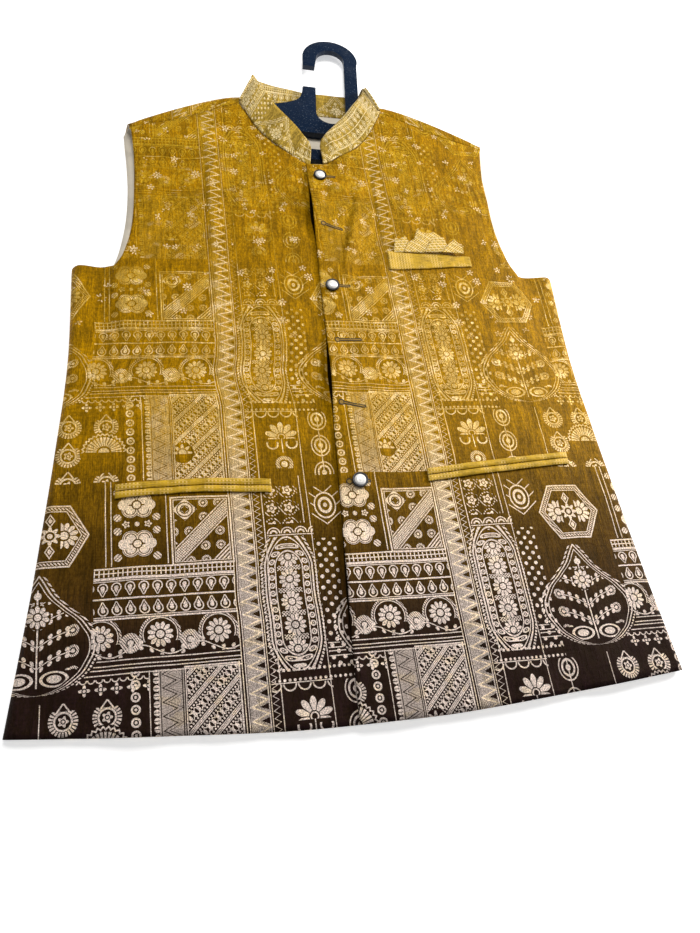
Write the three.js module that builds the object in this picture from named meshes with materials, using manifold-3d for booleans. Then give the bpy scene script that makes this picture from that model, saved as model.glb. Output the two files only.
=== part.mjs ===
// A sleeveless nehru jacket laid on its back on a table, with the plastic coat hanger inside it.
// Right of the wearer is -X, the neck is towards +Y, and Z rises from the table.
// Lengths are millimetres. While the pieces are made, y is "up", measured from the lowest point
// of the hem, and the whole part is moved to its middle at the end.
import * as THREE from 'three';
import { mergeVertices } from 'three/addons/utils/BufferGeometryUtils.js';
import Module from 'manifold-3d';

const wasm = await Module();
wasm.setup();

// Cloth walls and the clear gap that pieces keep at their seams
const frontWall = 1.6;
const backWall = 1.4;
const liningWall = 1;
const collarWall = 2.2;
const trimWall = 1.3;
const gap = 0.35;

// The overall length from hem to the top of the hanger's hook
const overallLength = 842.6;

// Side fold of the body: half width, height of the cloth beside the fold and how far the fold rounds
const sideTable = [
  { up: -4, halfWidth: 285, sideLoft: 8.0, round: 7 },
  { up: 100, halfWidth: 275, sideLoft: 8.6, round: 7.5 },
  { up: 165, halfWidth: 270, sideLoft: 9.0, round: 8 },
  { up: 240, halfWidth: 265, sideLoft: 9.4, round: 8 },
  { up: 340, halfWidth: 260, sideLoft: 10.2, round: 8.5 },
  { up: 430, halfWidth: 262, sideLoft: 11.0, round: 9 },
  { up: 456, halfWidth: 263, sideLoft: 11.2, round: 9 },
];
const sideSeamHeight = 3.6;
const backRound = 5.5;

// Height of the front's outer face over the table along the middle of each front
const loftTable = [
  { up: -4, loft: 9.0 },
  { up: 100, loft: 10.0 },
  { up: 240, loft: 11.8 },
  { up: 340, loft: 12.8 },
  { up: 456, loft: 14.0 },
  { up: 560, loft: 15.0 },
  { up: 620, loft: 15.6 },
  { up: 660, loft: 17.6 },
  { up: 705, loft: 20.2 },
];
const loftRunIn = 95;

// Hem, armholes, shoulders and neck, one side of the body
const hemTable = [
  { across: 0, up: 0 },
  { across: 60, up: 0.5 },
  { across: 110, up: 3 },
  { across: 160, up: 6.5 },
  { across: 210, up: 10 },
  { across: 290, up: 17 },
];
const underarmUp = 457;
const armholeTable = [
  { up: 457, front: 221, back: 228 },
  { up: 470, front: 213, back: 222 },
  { up: 497, front: 206.5, back: 216.5 },
  { up: 530, front: 204, back: 213 },
  { up: 570, front: 204, back: 212.5 },
  { up: 610, front: 205.5, back: 215 },
  { up: 640, front: 208, back: 218 },
  { up: 664, front: 211, back: 219.5 },
  { up: 700, front: 213, back: 220 },
];
const shoulderTable = [
  { across: 80, ridge: 718, seam: 705, wrap: 10 },
  { across: 100, ridge: 715, seam: 696, wrap: 10 },
  { across: 130, ridge: 704, seam: 681, wrap: 10 },
  { across: 165, ridge: 688, seam: 666, wrap: 9.5 },
  { across: 200, ridge: 670, seam: 656, wrap: 8.5 },
  { across: 221, ridge: 661, seam: 648, wrap: 7 },
];
const shoulderHeightTable = [
  { across: 80, height: 20.2 },
  { across: 130, height: 19.6 },
  { across: 180, height: 18.0 },
  { across: 221, height: 16.4 },
];
const neckTable = [
  { across: 8, up: 611 },
  { across: 17, up: 616 },
  { across: 28, up: 624.5 },
  { across: 40, up: 633 },
  { across: 52, up: 643.5 },
  { across: 63, up: 656.5 },
  { across: 72, up: 671 },
  { across: 80, up: 687 },
  { across: 87, up: 702 },
];
const neckHalfWidth = 87;
const backNeckUp = 711;
const backNeckTurn = 66;
const leastTurn = 0.05;
const backStations = [0, 22, 44, 66, 71, 76, 80.5, 84.5, 87, 103, 125, 150, 175, 200, 219.5];

// Centre front: the left front's edge lies on the right front, which runs on under it
const overlapEdgeTable = [
  { up: -4, across: -17 },
  { up: 70, across: -16.5 },
  { up: 167, across: -14.5 },
  { up: 265, across: -12.5 },
  { up: 330, across: -10.5 },
  { up: 430, across: -11 },
  { up: 560, across: -11 },
  { up: 615, across: -12.5 },
];
const underEdgeAcross = 17;
const overlapFade = 30;

// Where the left front's edge stands off between its buttons
const edgeLifts = [
  { up: 541, reach: 50, rise: 4.6 },
  { up: 325, reach: 54, rise: 4.4 },
  { up: 110, reach: 60, rise: 2.2 },
];
const edgeLiftFade = 24;

// The largest folds of the fronts: a trough is negative, a ridge positive
const folds = [
  { fromX: 60, fromUp: 520, toX: 22, toUp: 436, width: 13, rise: -2.6 },
  { fromX: -234, fromUp: 456, toX: -226, toUp: 385, width: 12, rise: -3.2 },
  { fromX: 232, fromUp: 452, toX: 240, toUp: 350, width: 13, rise: -3.4 },
  { fromX: -121, fromUp: 650, toX: -119, toUp: 395, width: 9, rise: 2.0 },
  { fromX: 64, fromUp: 655, toX: 63, toUp: 500, width: 10, rise: -1.2 },
  { fromX: 150, fromUp: 620, toX: 168, toUp: 560, width: 12, rise: -1.6 },
  { fromX: -158, fromUp: 610, toX: -172, toUp: 540, width: 12, rise: -1.6 },
  { fromX: -190, fromUp: -10, toX: -196, toUp: 120, width: 20, rise: 1.8 },
  { fromX: 120, fromUp: -10, toX: 128, toUp: 105, width: 22, rise: 1.6 },
  { fromX: 214, fromUp: -10, toX: 206, toUp: 150, width: 20, rise: 1.4 },
  { fromX: -92, fromUp: -10, toX: -96, toUp: 90, width: 20, rise: -0.8 },
];

// Stand collar: how far the band's top edge lies from its seam, at each place along the neck, from
// the wearer's left end round the back to the right end. On the fronts the places are the rows of
// neckTable, and on the back they are in backStations.
const collarTable = [
  { on: 'front', side: 1, across: 8, dx: -3, dy: 23, dz: 4.5 },
  { on: 'front', side: 1, across: 17, dx: -10, dy: 26, dz: 5.5 },
  { on: 'front', side: 1, across: 28, dx: -15, dy: 27, dz: 6.5 },
  { on: 'front', side: 1, across: 40, dx: -19, dy: 29, dz: 7 },
  { on: 'front', side: 1, across: 52, dx: -21, dy: 31, dz: 7.5 },
  { on: 'front', side: 1, across: 63, dx: -22, dy: 32, dz: 7.5 },
  { on: 'front', side: 1, across: 72, dx: -21, dy: 32, dz: 7 },
  { on: 'front', side: 1, across: 80, dx: -18.5, dy: 32, dz: 5.5 },
  { on: 'back', side: 1, across: 87, dx: -18, dy: 30, dz: 7 },
  { on: 'back', side: 1, across: 84.5, dx: -15, dy: 27, dz: 6 },
  { on: 'back', side: 1, across: 80.5, dx: -10, dy: 29, dz: 2 },
  { on: 'back', side: 1, across: 76, dx: -5.5, dy: 31, dz: 1 },
  { on: 'back', side: 1, across: 71, dx: -3, dy: 36.5, dz: 0.8 },
  { on: 'back', side: 1, across: 66, dx: -2.5, dy: 40, dz: 0.9 },
  { on: 'back', side: 1, across: 44, dx: -2, dy: 38, dz: 1 },
  { on: 'back', side: 1, across: 22, dx: -1, dy: 38.5, dz: 1 },
  { on: 'back', side: -1, across: 0, dx: 0, dy: 38.5, dz: 1.2 },
  { on: 'back', side: -1, across: 22, dx: 1, dy: 38.5, dz: 2 },
  { on: 'back', side: -1, across: 44, dx: 3, dy: 38, dz: 3.6 },
  { on: 'back', side: -1, across: 66, dx: 5, dy: 38.5, dz: 7 },
  { on: 'back', side: -1, across: 71, dx: 6, dy: 34, dz: 10 },
  { on: 'back', side: -1, across: 76, dx: 8, dy: 29, dz: 6.5 },
  { on: 'back', side: -1, across: 80.5, dx: 10.5, dy: 29, dz: 4.5 },
  { on: 'back', side: -1, across: 84.5, dx: 14, dy: 30, dz: 9 },
  { on: 'back', side: -1, across: 87, dx: 17.5, dy: 32, dz: 11 },
  { on: 'front', side: -1, across: 80, dx: 19.5, dy: 31, dz: 10.5 },
  { on: 'front', side: -1, across: 72, dx: 21, dy: 31, dz: 9.5 },
  { on: 'front', side: -1, across: 63, dx: 22, dy: 31, dz: 9 },
  { on: 'front', side: -1, across: 52, dx: 21, dy: 31, dz: 8 },
  { on: 'front', side: -1, across: 40, dx: 19, dy: 29, dz: 7 },
  { on: 'front', side: -1, across: 28, dx: 15, dy: 27, dz: 6.5 },
  { on: 'front', side: -1, across: 17, dx: 10, dy: 26, dz: 5.5 },
  { on: 'front', side: -1, across: 8, dx: 3, dy: 23, dz: 4.5 },
];

// Pockets on the fronts
const chestWelt = { left: 68, right: 165, leftLow: 458.5, leftHigh: 484, rightLow: 466.5, rightHigh: 480.5 };
const squarePeaks = [
  { across: 77, up: 489 },
  { across: 80, up: 501 },
  { across: 91, up: 503 },
  { across: 94, up: 496 },
  { across: 108, up: 516 },
  { across: 118, up: 509 },
  { across: 133, up: 509.5 },
  { across: 140, up: 495 },
  { across: 149, up: 501 },
  { across: 156, up: 490 },
];
const jetWidth = 6.2;
const jetSlit = 0.7;
const jets = [
  { name: 'pocket_left', left: 73, right: 222, leftUp: 213.5, rightUp: 227, arch: 1 },
  { name: 'pocket_right', left: -211, right: -76, leftUp: 208, rightUp: 208.5, arch: 3 },
];

// Buttons
const buttonRadius = 7.4;
const buttonRimHeight = 2.6;
const buttonRimWidth = 1.5;
const buttonPlaces = [
  { across: 2, up: 592.5 },
  { across: 1.5, up: 434.5 },
  { across: 6, up: 209.5 },
];

// Hanger, measured from the middle of its web's lower edge before it is turned
const hangerTurn = THREE.MathUtils.degToRad(-3.5);
const hangerUp = 669;
const hangerBottom = 3.1;
const hangerTop = 12.1;
const hookBottom = 6;
const hookCentre = { x: 26, y: 139.5 };
const hookOuterRadius = 36;
const hookInnerRadius = 18;
const hookTipLeft = -9.7;
const hookTipRight = 5.8;
const hookTipUp = 122.5;
const stemLeft = 42.5;
const stemRight = 59.8;
const postLeft = -11;
const postRight = 5;
const postUp = 82;
const notchRadius = 18.4;
const notchCentreUp = 37.5;
const wingUp = 43;
const wingAcross = 50;
const armAcross = 192;
const armTipUp = -15;
const barTop = -28;
const barBottom = -45;

const cloth = new THREE.MeshStandardMaterial({ color: 0xb08a1c, roughness: 0.62, metalness: 0.15 });
const collarCloth = new THREE.MeshStandardMaterial({ color: 0xc8a545, roughness: 0.6, metalness: 0.15 });
const liningCloth = new THREE.MeshStandardMaterial({ color: 0xebe1cd, roughness: 0.8 });
const trimCloth = new THREE.MeshStandardMaterial({ color: 0xd0a828, roughness: 0.6, metalness: 0.1 });
const buttonMetal = new THREE.MeshStandardMaterial({ color: 0x4a4a48, roughness: 0.35, metalness: 0.8 });
const buttonPearl = new THREE.MeshStandardMaterial({ color: 0xd8d6cc, roughness: 0.25, metalness: 0.3 });
const blackPlastic = new THREE.MeshStandardMaterial({ color: 0x101c28, roughness: 0.3 });

const clamp01 = (value) => Math.min(1, Math.max(0, value));
const smooth = (value) => clamp01(value) ** 2 * (3 - 2 * clamp01(value));
const mix = (from, to, share) => from + (to - from) * share;

// Smooth curve through one column of a table, by a cubic between rows
function along(table, key, column, at) {
  const last = table.length - 1;
  if (at <= table[0][key]) return table[0][column];
  if (at >= table[last][key]) return table[last][column];
  let row = 0;
  while (at > table[row + 1][key]) row += 1;
  const slope = (low, high) => {
    const run = table[high][key] - table[low][key];
    return (table[high][column] - table[low][column]) / run;
  };
  const span = table[row + 1][key] - table[row][key];
  const share = (at - table[row][key]) / span;
  const startSlope = slope(Math.max(row - 1, 0), row + 1) * span;
  const endSlope = slope(row, Math.min(row + 2, last)) * span;
  const rise = table[row + 1][column] - table[row][column];
  const cubic = startSlope + endSlope - 2 * rise;
  const square = 3 * rise - 2 * startSlope - endSlope;
  return table[row][column] + share * (startSlope + share * (square + share * cubic));
}

const halfWidthAt = (up) => along(sideTable, 'up', 'halfWidth', up);
const hemAt = (x) => along(hemTable, 'across', 'up', Math.abs(x));

// Rise or fall of all folds at one place
function foldRise(x, up) {
  let rise = 0;
  for (const fold of folds) {
    const runX = fold.toX - fold.fromX;
    const runUp = fold.toUp - fold.fromUp;
    const lengthSquared = runX * runX + runUp * runUp;
    const share = clamp01(((x - fold.fromX) * runX + (up - fold.fromUp) * runUp) / lengthSquared);
    const away = Math.hypot(x - fold.fromX - share * runX, up - fold.fromUp - share * runUp);
    rise += fold.rise * Math.exp(-((away / fold.width) ** 2));
  }
  return rise;
}

// Where the fronts start to follow the shoulder, how soon they do, and how far below its seam
const shoulderStart = 60;
const shoulderRunOut = 25;
const shoulderReach = 55;
// Folds die away this far in from the side seam
const sideCalm = 14;

// Height of the fronts' outer face away from the side folds, as if they were one cloth
function frontHeight(x, up) {
  const inward = halfWidthAt(up) - Math.abs(x);
  const side = along(sideTable, 'up', 'sideLoft', up);
  const middle = along(loftTable, 'up', 'loft', up);
  const body = mix(side, middle, smooth(inward / loftRunIn));
  const shoulder = along(shoulderHeightTable, 'across', 'height', Math.abs(x));
  const seam = along(shoulderTable, 'across', 'seam', Math.abs(x));
  const outward = smooth((Math.abs(x) - shoulderStart) / shoulderRunOut);
  const toShoulder = Math.abs(x) < shoulderStart ? 0 : smooth(1 - (seam - up) / shoulderReach) * outward;
  const calm = 1 - smooth(1 - inward / sideCalm);
  return mix(body, shoulder, toShoulder) + foldRise(x, up) * calm * (1 - toShoulder);
}

// How far the left front stands above the right front
function overlapLift(x, up) {
  const edge = along(overlapEdgeTable, 'up', 'across', up);
  const layer = (frontWall + gap + 0.25) * (1 - smooth((x - underEdgeAcross - 4) / overlapFade));
  let lift = 0;
  for (const place of edgeLifts) {
    lift += place.rise * smooth(1 - Math.abs(up - place.up) / place.reach);
  }
  return layer + lift * smooth(1 - (x - edge) / edgeLiftFade);
}

function geometryOf(points, faces) {
  const geometry = new THREE.BufferGeometry();
  const flat = [];
  for (const point of points) flat.push(point.x, point.y, point.z);
  geometry.setAttribute('position', new THREE.Float32BufferAttribute(flat, 3));
  geometry.setIndex(faces.flat());
  return geometry;
}

// A cloth wall: a grid of outer points, an inner face moved in along the normals, and the edges
// between them. has(row, column) says which cells of the grid are cloth, and facing(row, column)
// may give the way that a point on a seam faces.
function clothWall(outer, thickness, { has = () => true, turned = false, facing = () => null } = {}) {
  const rows = outer.length;
  const columns = outer[0].length;
  const cells = [];
  for (let row = 0; row < rows - 1; row += 1) {
    for (let column = 0; column < columns - 1; column += 1) {
      if (has(row, column)) cells.push([row, column]);
    }
  }
  const key = (row, column) => row * columns + column;
  const normals = new Map();
  for (const [row, column] of cells) {
    const a = outer[row][column];
    const b = outer[row][column + 1];
    const c = outer[row + 1][column + 1];
    const d = outer[row + 1][column];
    const normal = new THREE.Vector3().subVectors(c, a).cross(new THREE.Vector3().subVectors(d, b));
    if (turned) normal.negate();
    for (const spot of [key(row, column), key(row, column + 1), key(row + 1, column + 1), key(row + 1, column)]) {
      normals.set(spot, (normals.get(spot) ?? new THREE.Vector3()).add(normal));
    }
  }
  const points = [];
  const outerAt = new Map();
  const innerAt = new Map();
  for (const [spot, mean] of normals) {
    const point = outer[Math.floor(spot / columns)][spot % columns];
    const normal = facing(Math.floor(spot / columns), spot % columns) ?? mean;
    outerAt.set(spot, points.push(point.clone()) - 1);
    innerAt.set(spot, points.push(point.clone().addScaledVector(normal.normalize(), -thickness)) - 1);
  }
  const faces = [];
  const edges = new Map();
  const addQuad = (a, b, c, d) => faces.push([a, b, c], [a, c, d]);
  for (const [row, column] of cells) {
    let ring = [key(row, column), key(row, column + 1), key(row + 1, column + 1), key(row + 1, column)];
    if (turned) ring = ring.reverse();
    addQuad(...ring.map((spot) => outerAt.get(spot)));
    addQuad(...[...ring].reverse().map((spot) => innerAt.get(spot)));
    ring.forEach((spot, index) => {
      const next = ring[(index + 1) % 4];
      if (edges.has(`${next},${spot}`)) edges.delete(`${next},${spot}`);
      else edges.set(`${spot},${next}`, [spot, next]);
    });
  }
  for (const [from, to] of edges.values()) {
    addQuad(outerAt.get(from), innerAt.get(from), innerAt.get(to), outerAt.get(to));
  }
  return geometryOf(points, faces);
}

// One front. side is 1 for the left front and -1 for the right front.
const centreColumns = 2;
const shoulderColumns = 9;
const frontColumns = centreColumns + neckTable.length - 1 + shoulderColumns;
const sideColumns = 6;
const lowerRows = 19;
const upperRows = 12;
const underarmDip = 3;
const shoulderTip = 211;

// Height up of a front's top edge: level across the overlap, then the neck, then the shoulder seam
function frontTop(across) {
  if (across < neckTable[0].across) return neckTable[0].up - gap;
  if (across <= neckHalfWidth) return along(neckTable, 'across', 'up', across) - gap;
  return along(shoulderTable, 'across', 'seam', across) - gap;
}

// Where each column of a front meets its top edge
function frontTopAcross(start, column) {
  if (column < centreColumns) return mix(start, neckTable[0].across, column / centreColumns);
  const onNeck = column - centreColumns;
  if (onNeck < neckTable.length) return neckTable[onNeck].across;
  return mix(neckHalfWidth, shoulderTip, (onNeck - neckTable.length + 1) / shoulderColumns);
}

function frontPanel(side) {
  const left = side > 0;
  const centreAt = (up) => (left ? along(overlapEdgeTable, 'up', 'across', up) : -underEdgeAcross);
  const heightAt = (across, up) => {
    const x = side * across;
    return frontHeight(x, up) + (left ? overlapLift(x, up) : 0);
  };
  const topStart = centreAt(neckTable[0].up);
  const outer = [];
  for (let row = 0; row <= lowerRows + upperRows; row += 1) {
    const line = [];
    for (let column = 0; column <= frontColumns + sideColumns; column += 1) {
      const topAcross = frontTopAcross(topStart, Math.min(column, frontColumns));
      const share = (topAcross - topStart) / (shoulderTip - topStart);
      const beyond = Math.max(0, column - frontColumns) / sideColumns;
      if (row <= lowerRows) {
        const climb = row / lowerRows;
        const guess = climb * underarmUp;
        const edge = halfWidthAt(guess);
        const round = along(sideTable, 'up', 'round', guess);
        const fixed = mix(edge - 42, armholeTable[0].front, climb ** 3);
        const flatEnd = edge - round;
        let across = mix(centreAt(guess), fixed, share);
        let z = null;
        if (beyond > 0) {
          const flatShare = 0.4;
          if (beyond <= flatShare) {
            across = mix(fixed, flatEnd, beyond / flatShare);
          } else {
            const angle = ((1 - (beyond - flatShare) / (1 - flatShare)) * Math.PI) / 2;
            across = flatEnd + round * Math.cos(angle);
            const crown = heightAt(flatEnd, guess);
            z = sideSeamHeight + (crown - sideSeamHeight) * Math.sin(angle);
          }
        }
        const top = underarmUp - underarmDip * smooth((beyond - 0.3) / 0.7);
        const up = mix(hemAt(across), top, climb);
        line.push(new THREE.Vector3(side * across, up, z ?? heightAt(across, up)));
      } else {
        const climb = (row - lowerRows) / upperRows;
        const edgeUp = mix(underarmUp, frontTop(shoulderTip), climb);
        const armhole = along(armholeTable, 'up', 'front', edgeUp);
        const across = mix(centreAt(edgeUp), armhole, share);
        const atTop = row === lowerRows + upperRows;
        const up = mix(underarmUp, frontTop(topAcross), climb);
        const reached = atTop ? topAcross : across;
        line.push(new THREE.Vector3(side * reached, up, heightAt(reached, up)));
      }
    }
    outer.push(line);
  }
  const has = (row, column) => row < lowerRows || column < frontColumns;
  const facing = (row, column) =>
    row <= lowerRows && column === frontColumns + sideColumns ? new THREE.Vector3(side, 0, 0) : null;
  return clothWall(outer, frontWall, { has, turned: side < 0, facing });
}

// The back lies flat, curls up at the side folds and turns over the shoulder ridge to the seam
const backColumns = backStations.length - 1;
const backSideColumns = 5;
const backLowerRows = 10;
const backUpperRows = 8;
const wrapRows = 7;
const wrapStraight = 0.25;
const tipNarrowing = { from: 195, run: 24.5, by: 8.5 };

// How much of the turn over the shoulder the back makes at one place across: 1 is to the seam
function wrapTurn(across) {
  return Math.max(leastTurn, smooth((across - backNeckTurn) / (neckHalfWidth - backNeckTurn)));
}

function wrapPoint(side, across, share) {
  const turn = wrapTurn(across);
  const bent = Math.min(1, share / (1 - wrapStraight));
  const straight = Math.max(0, share - 1 + wrapStraight) / wrapStraight;
  const tip = across - tipNarrowing.by * smooth((across - tipNarrowing.from) / tipNarrowing.run);
  const reached = mix(across, tip, bent);
  const wrap = along(shoulderTable, 'across', 'wrap', across);
  const crown = along(shoulderTable, 'across', 'ridge', across) - wrap;
  const foot = mix(backNeckUp, crown, smooth((across - 30) / 40));
  const half = along(shoulderHeightTable, 'across', 'height', reached) / 2;
  const angle = Math.PI * (bent * turn - 0.5);
  const run = Math.max(0, crown - along(shoulderTable, 'across', 'seam', tip) - gap) * straight * turn;
  const up = foot + wrap * Math.cos(angle) - run * Math.sin(angle);
  const z = half + half * Math.sin(angle) + run * Math.cos(angle);
  return new THREE.Vector3(side * reached, up, z);
}

function backPanel() {
  const outer = [];
  const sides = backSideColumns;
  const middle = 2 * backColumns;
  const rows = backLowerRows + backUpperRows + wrapRows;
  const topReach = backStations[backColumns];
  for (let row = 0; row <= rows; row += 1) {
    const line = [];
    for (let column = 0; column <= middle + 2 * sides; column += 1) {
      const from = column - sides - backColumns;
      const side = from < 0 ? -1 : 1;
      const station = backStations[Math.min(Math.abs(from), backColumns)];
      const beyond = Math.max(0, Math.abs(from) - backColumns) / sides;
      if (row <= backLowerRows) {
        const climb = row / backLowerRows;
        const guess = climb * underarmUp;
        const edge = halfWidthAt(guess);
        const fixed = mix(edge - 30, armholeTable[0].back, climb ** 3);
        const flatEnd = edge - backRound;
        let across = (fixed * station) / topReach;
        let z = 0;
        if (beyond > 0) {
          const flatShare = 0.2;
          if (beyond <= flatShare) {
            across = mix(fixed, flatEnd, beyond / flatShare);
          } else {
            const angle = (((beyond - flatShare) / (1 - flatShare)) * Math.PI) / 2;
            across = flatEnd + backRound * Math.sin(angle);
            z = (sideSeamHeight - gap) * (1 - Math.cos(angle));
          }
        }
        const top = underarmUp - underarmDip * smooth((beyond - 0.3) / 0.7);
        line.push(new THREE.Vector3(side * across, mix(hemAt(across), top, climb), z));
      } else {
        const climb = Math.min(1, (row - backLowerRows) / backUpperRows);
        const shareOver = Math.max(0, row - backLowerRows - backUpperRows) / wrapRows;
        if (shareOver > 0) {
          line.push(wrapPoint(side, station, shareOver));
        } else {
          const foot = wrapPoint(side, station, 0);
          const edgeUp = mix(underarmUp, wrapPoint(side, topReach, 0).y, climb);
          const armhole = along(armholeTable, 'up', 'back', edgeUp);
          const across = climb === 1 ? station : (armhole * station) / topReach;
          line.push(new THREE.Vector3(side * across, mix(underarmUp, foot.y, climb), 0));
        }
      }
    }
    outer.push(line);
  }
  const neckColumns = backStations.indexOf(backNeckTurn);
  const has = (row, column) => {
    if (row < backLowerRows) return true;
    if (column < sides || column >= sides + middle) return false;
    const onNeck = Math.abs(column + 0.5 - sides - backColumns) < neckColumns;
    return row < backLowerRows + backUpperRows || !onNeck;
  };
  const facing = (row, column) => {
    if (row > backLowerRows) return null;
    if (column === 0) return new THREE.Vector3(-1, 0, 0);
    return column === middle + 2 * sides ? new THREE.Vector3(1, 0, 0) : null;
  };
  return clothWall(outer, backWall, { has, turned: true, facing });
}

// The lining lies on the inside of the upper back, clear of the back's edge
const liningStart = 440;
const liningInset = 7;
const liningNeckInset = 4;
function backLining() {
  const rows = 8;
  const columns = 14;
  const level = backWall + gap + liningWall;
  const outer = [];
  for (let row = 0; row <= rows; row += 1) {
    const line = [];
    for (let column = 0; column <= columns; column += 1) {
      const share = (2 * column) / columns - 1;
      const edgeUp = Math.max(mix(liningStart, 645, row / rows), underarmUp + 4);
      const x = share * (along(armholeTable, 'up', 'back', edgeUp) - liningInset);
      const foot = wrapPoint(1, Math.abs(x), 0).y;
      line.push(new THREE.Vector3(x, mix(liningStart, foot - liningNeckInset, row / rows), level));
    }
    outer.push(line);
  }
  return clothWall(outer, liningWall);
}

// The neck edge of the fronts or the back at one place, and the way the cloth faces there
function neckEdge({ on, side, across }) {
  if (on === 'front') {
    const x = side * across;
    const up = frontTop(across);
    const z = frontHeight(x, up) + (side > 0 ? overlapLift(x, up) : 0);
    return { point: new THREE.Vector3(x, up, z), facing: new THREE.Vector3(0, 0, 1) };
  }
  const neckShare = across >= backNeckTurn ? 1 : 0;
  const angle = across > backNeckTurn ? Math.PI * (wrapTurn(across) - 0.5) : -Math.PI / 2;
  return {
    point: wrapPoint(side, across, neckShare),
    facing: new THREE.Vector3(0, Math.cos(angle), Math.sin(angle)),
  };
}

// Past this height the band leans back over the turned shoulder, so it starts above that edge
const crossoverHeight = 16.5;

function collarBand() {
  const rows = 4;
  const edges = collarTable.map(neckEdge);
  const last = edges.length - 1;
  const outer = Array.from({ length: rows + 1 }, () => []);
  edges.forEach(({ point, facing }, index) => {
    const before = edges[Math.max(0, index - 1)].point;
    const after = edges[Math.min(last, index + 1)].point;
    const away = new THREE.Vector3().crossVectors(facing, after.clone().sub(before)).normalize();
    const crossing = point.z > crossoverHeight;
    const seam = point.clone().addScaledVector(away, (crossing ? 3.5 : 2) * gap);
    if (crossing) seam.addScaledVector(facing, 4 * gap);
    const { dx, dy, dz } = collarTable[index];
    for (let row = 0; row <= rows; row += 1) {
      const share = row / rows;
      outer[row].push(seam.clone().add(new THREE.Vector3(dx, dy, dz).multiplyScalar(share)));
    }
  });
  return clothWall(outer, collarWall);
}

// A trim piece that lies on the left or right front, made from the front's own height
function trimOnFront(rows, columns, place, thickness, clear = gap) {
  const outer = [];
  for (let row = 0; row <= rows; row += 1) {
    const line = [];
    for (let column = 0; column <= columns; column += 1) {
      const { x, up } = place(column / columns, row / rows);
      const lift = x > 0 ? overlapLift(x, up) : 0;
      line.push(new THREE.Vector3(x, up, frontHeight(x, up) + lift + clear + thickness));
    }
    outer.push(line);
  }
  return clothWall(outer, thickness);
}

function weltPlace(share, rise) {
  const low = mix(chestWelt.leftLow, chestWelt.rightLow, share);
  const high = mix(chestWelt.leftHigh, chestWelt.rightHigh, share);
  return { x: mix(chestWelt.left, chestWelt.right, share), up: mix(low, high, rise) };
}

function squarePlace(share, rise) {
  const first = squarePeaks[0].across;
  const last = squarePeaks[squarePeaks.length - 1].across;
  const x = mix(first, last, share);
  const onWelt = (x - chestWelt.left) / (chestWelt.right - chestWelt.left);
  const low = weltPlace(onWelt, 1).up + gap;
  let row = 0;
  while (row < squarePeaks.length - 2 && x > squarePeaks[row + 1].across) row += 1;
  const from = squarePeaks[row];
  const to = squarePeaks[row + 1];
  const peak = mix(from.up, to.up, clamp01((x - from.across) / (to.across - from.across)));
  return { x, up: mix(low, peak, rise) };
}

function jetPlace(jet, shift) {
  return (share, rise) => ({
    x: mix(jet.left, jet.right, share),
    up: mix(jet.leftUp, jet.rightUp, share) + jet.arch * Math.sin(Math.PI * share) + shift + (rise - 0.5) * jetWidth,
  });
}

// A button: a dark rim with a rounded edge, and a domed face set in it
function buttonRim() {
  const inner = buttonRadius - buttonRimWidth;
  const profile = [
    [0, 0], [buttonRadius - 1, 0], [buttonRadius, 1], [buttonRadius, buttonRimHeight - 0.7],
    [buttonRadius - 0.7, buttonRimHeight], [inner, buttonRimHeight], [inner, 1.4], [0, 1.4],
  ];
  const lathe = new THREE.LatheGeometry(profile.map(([r, z]) => new THREE.Vector2(r, z)), 20);
  return lathe.rotateX(Math.PI / 2);
}

function buttonFace() {
  const radius = buttonRadius - buttonRimWidth - 0.3;
  const seat = 1.4 + 0.3;
  const profile = [[0, seat], [radius, seat]];
  const steps = 5;
  for (let step = 0; step <= steps; step += 1) {
    const angle = (step / steps) * (Math.PI / 2);
    profile.push([radius * Math.cos(angle), buttonRimHeight - 0.3 + 1.6 * Math.sin(angle)]);
  }
  profile[profile.length - 1][0] = 0;
  const lathe = new THREE.LatheGeometry(profile.map(([r, z]) => new THREE.Vector2(r, z)), 20);
  return lathe.rotateX(Math.PI / 2);
}

// Manifold solid from a geometry, and back
function solidOf(geometry) {
  const bare = geometry.clone();
  bare.deleteAttribute('normal');
  bare.deleteAttribute('uv');
  const merged = mergeVertices(bare, 1e-4);
  const mesh = new wasm.Mesh({
    numProp: 3,
    vertProperties: Float32Array.from(merged.attributes.position.array),
    triVerts: Uint32Array.from(merged.index.array),
  });
  return new wasm.Manifold(mesh);
}

function geometryFrom(solid) {
  const mesh = solid.getMesh();
  const geometry = new THREE.BufferGeometry();
  geometry.setAttribute('position', new THREE.BufferAttribute(Float32Array.from(mesh.vertProperties), 3));
  geometry.setIndex(new THREE.BufferAttribute(Uint32Array.from(mesh.triVerts), 1));
  return geometry;
}

const extruded = (shape, bottom, top, curveSegments = 12) =>
  new THREE.ExtrudeGeometry(shape, { depth: top - bottom, bevelEnabled: false, curveSegments }).translate(0, 0, bottom);

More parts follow.
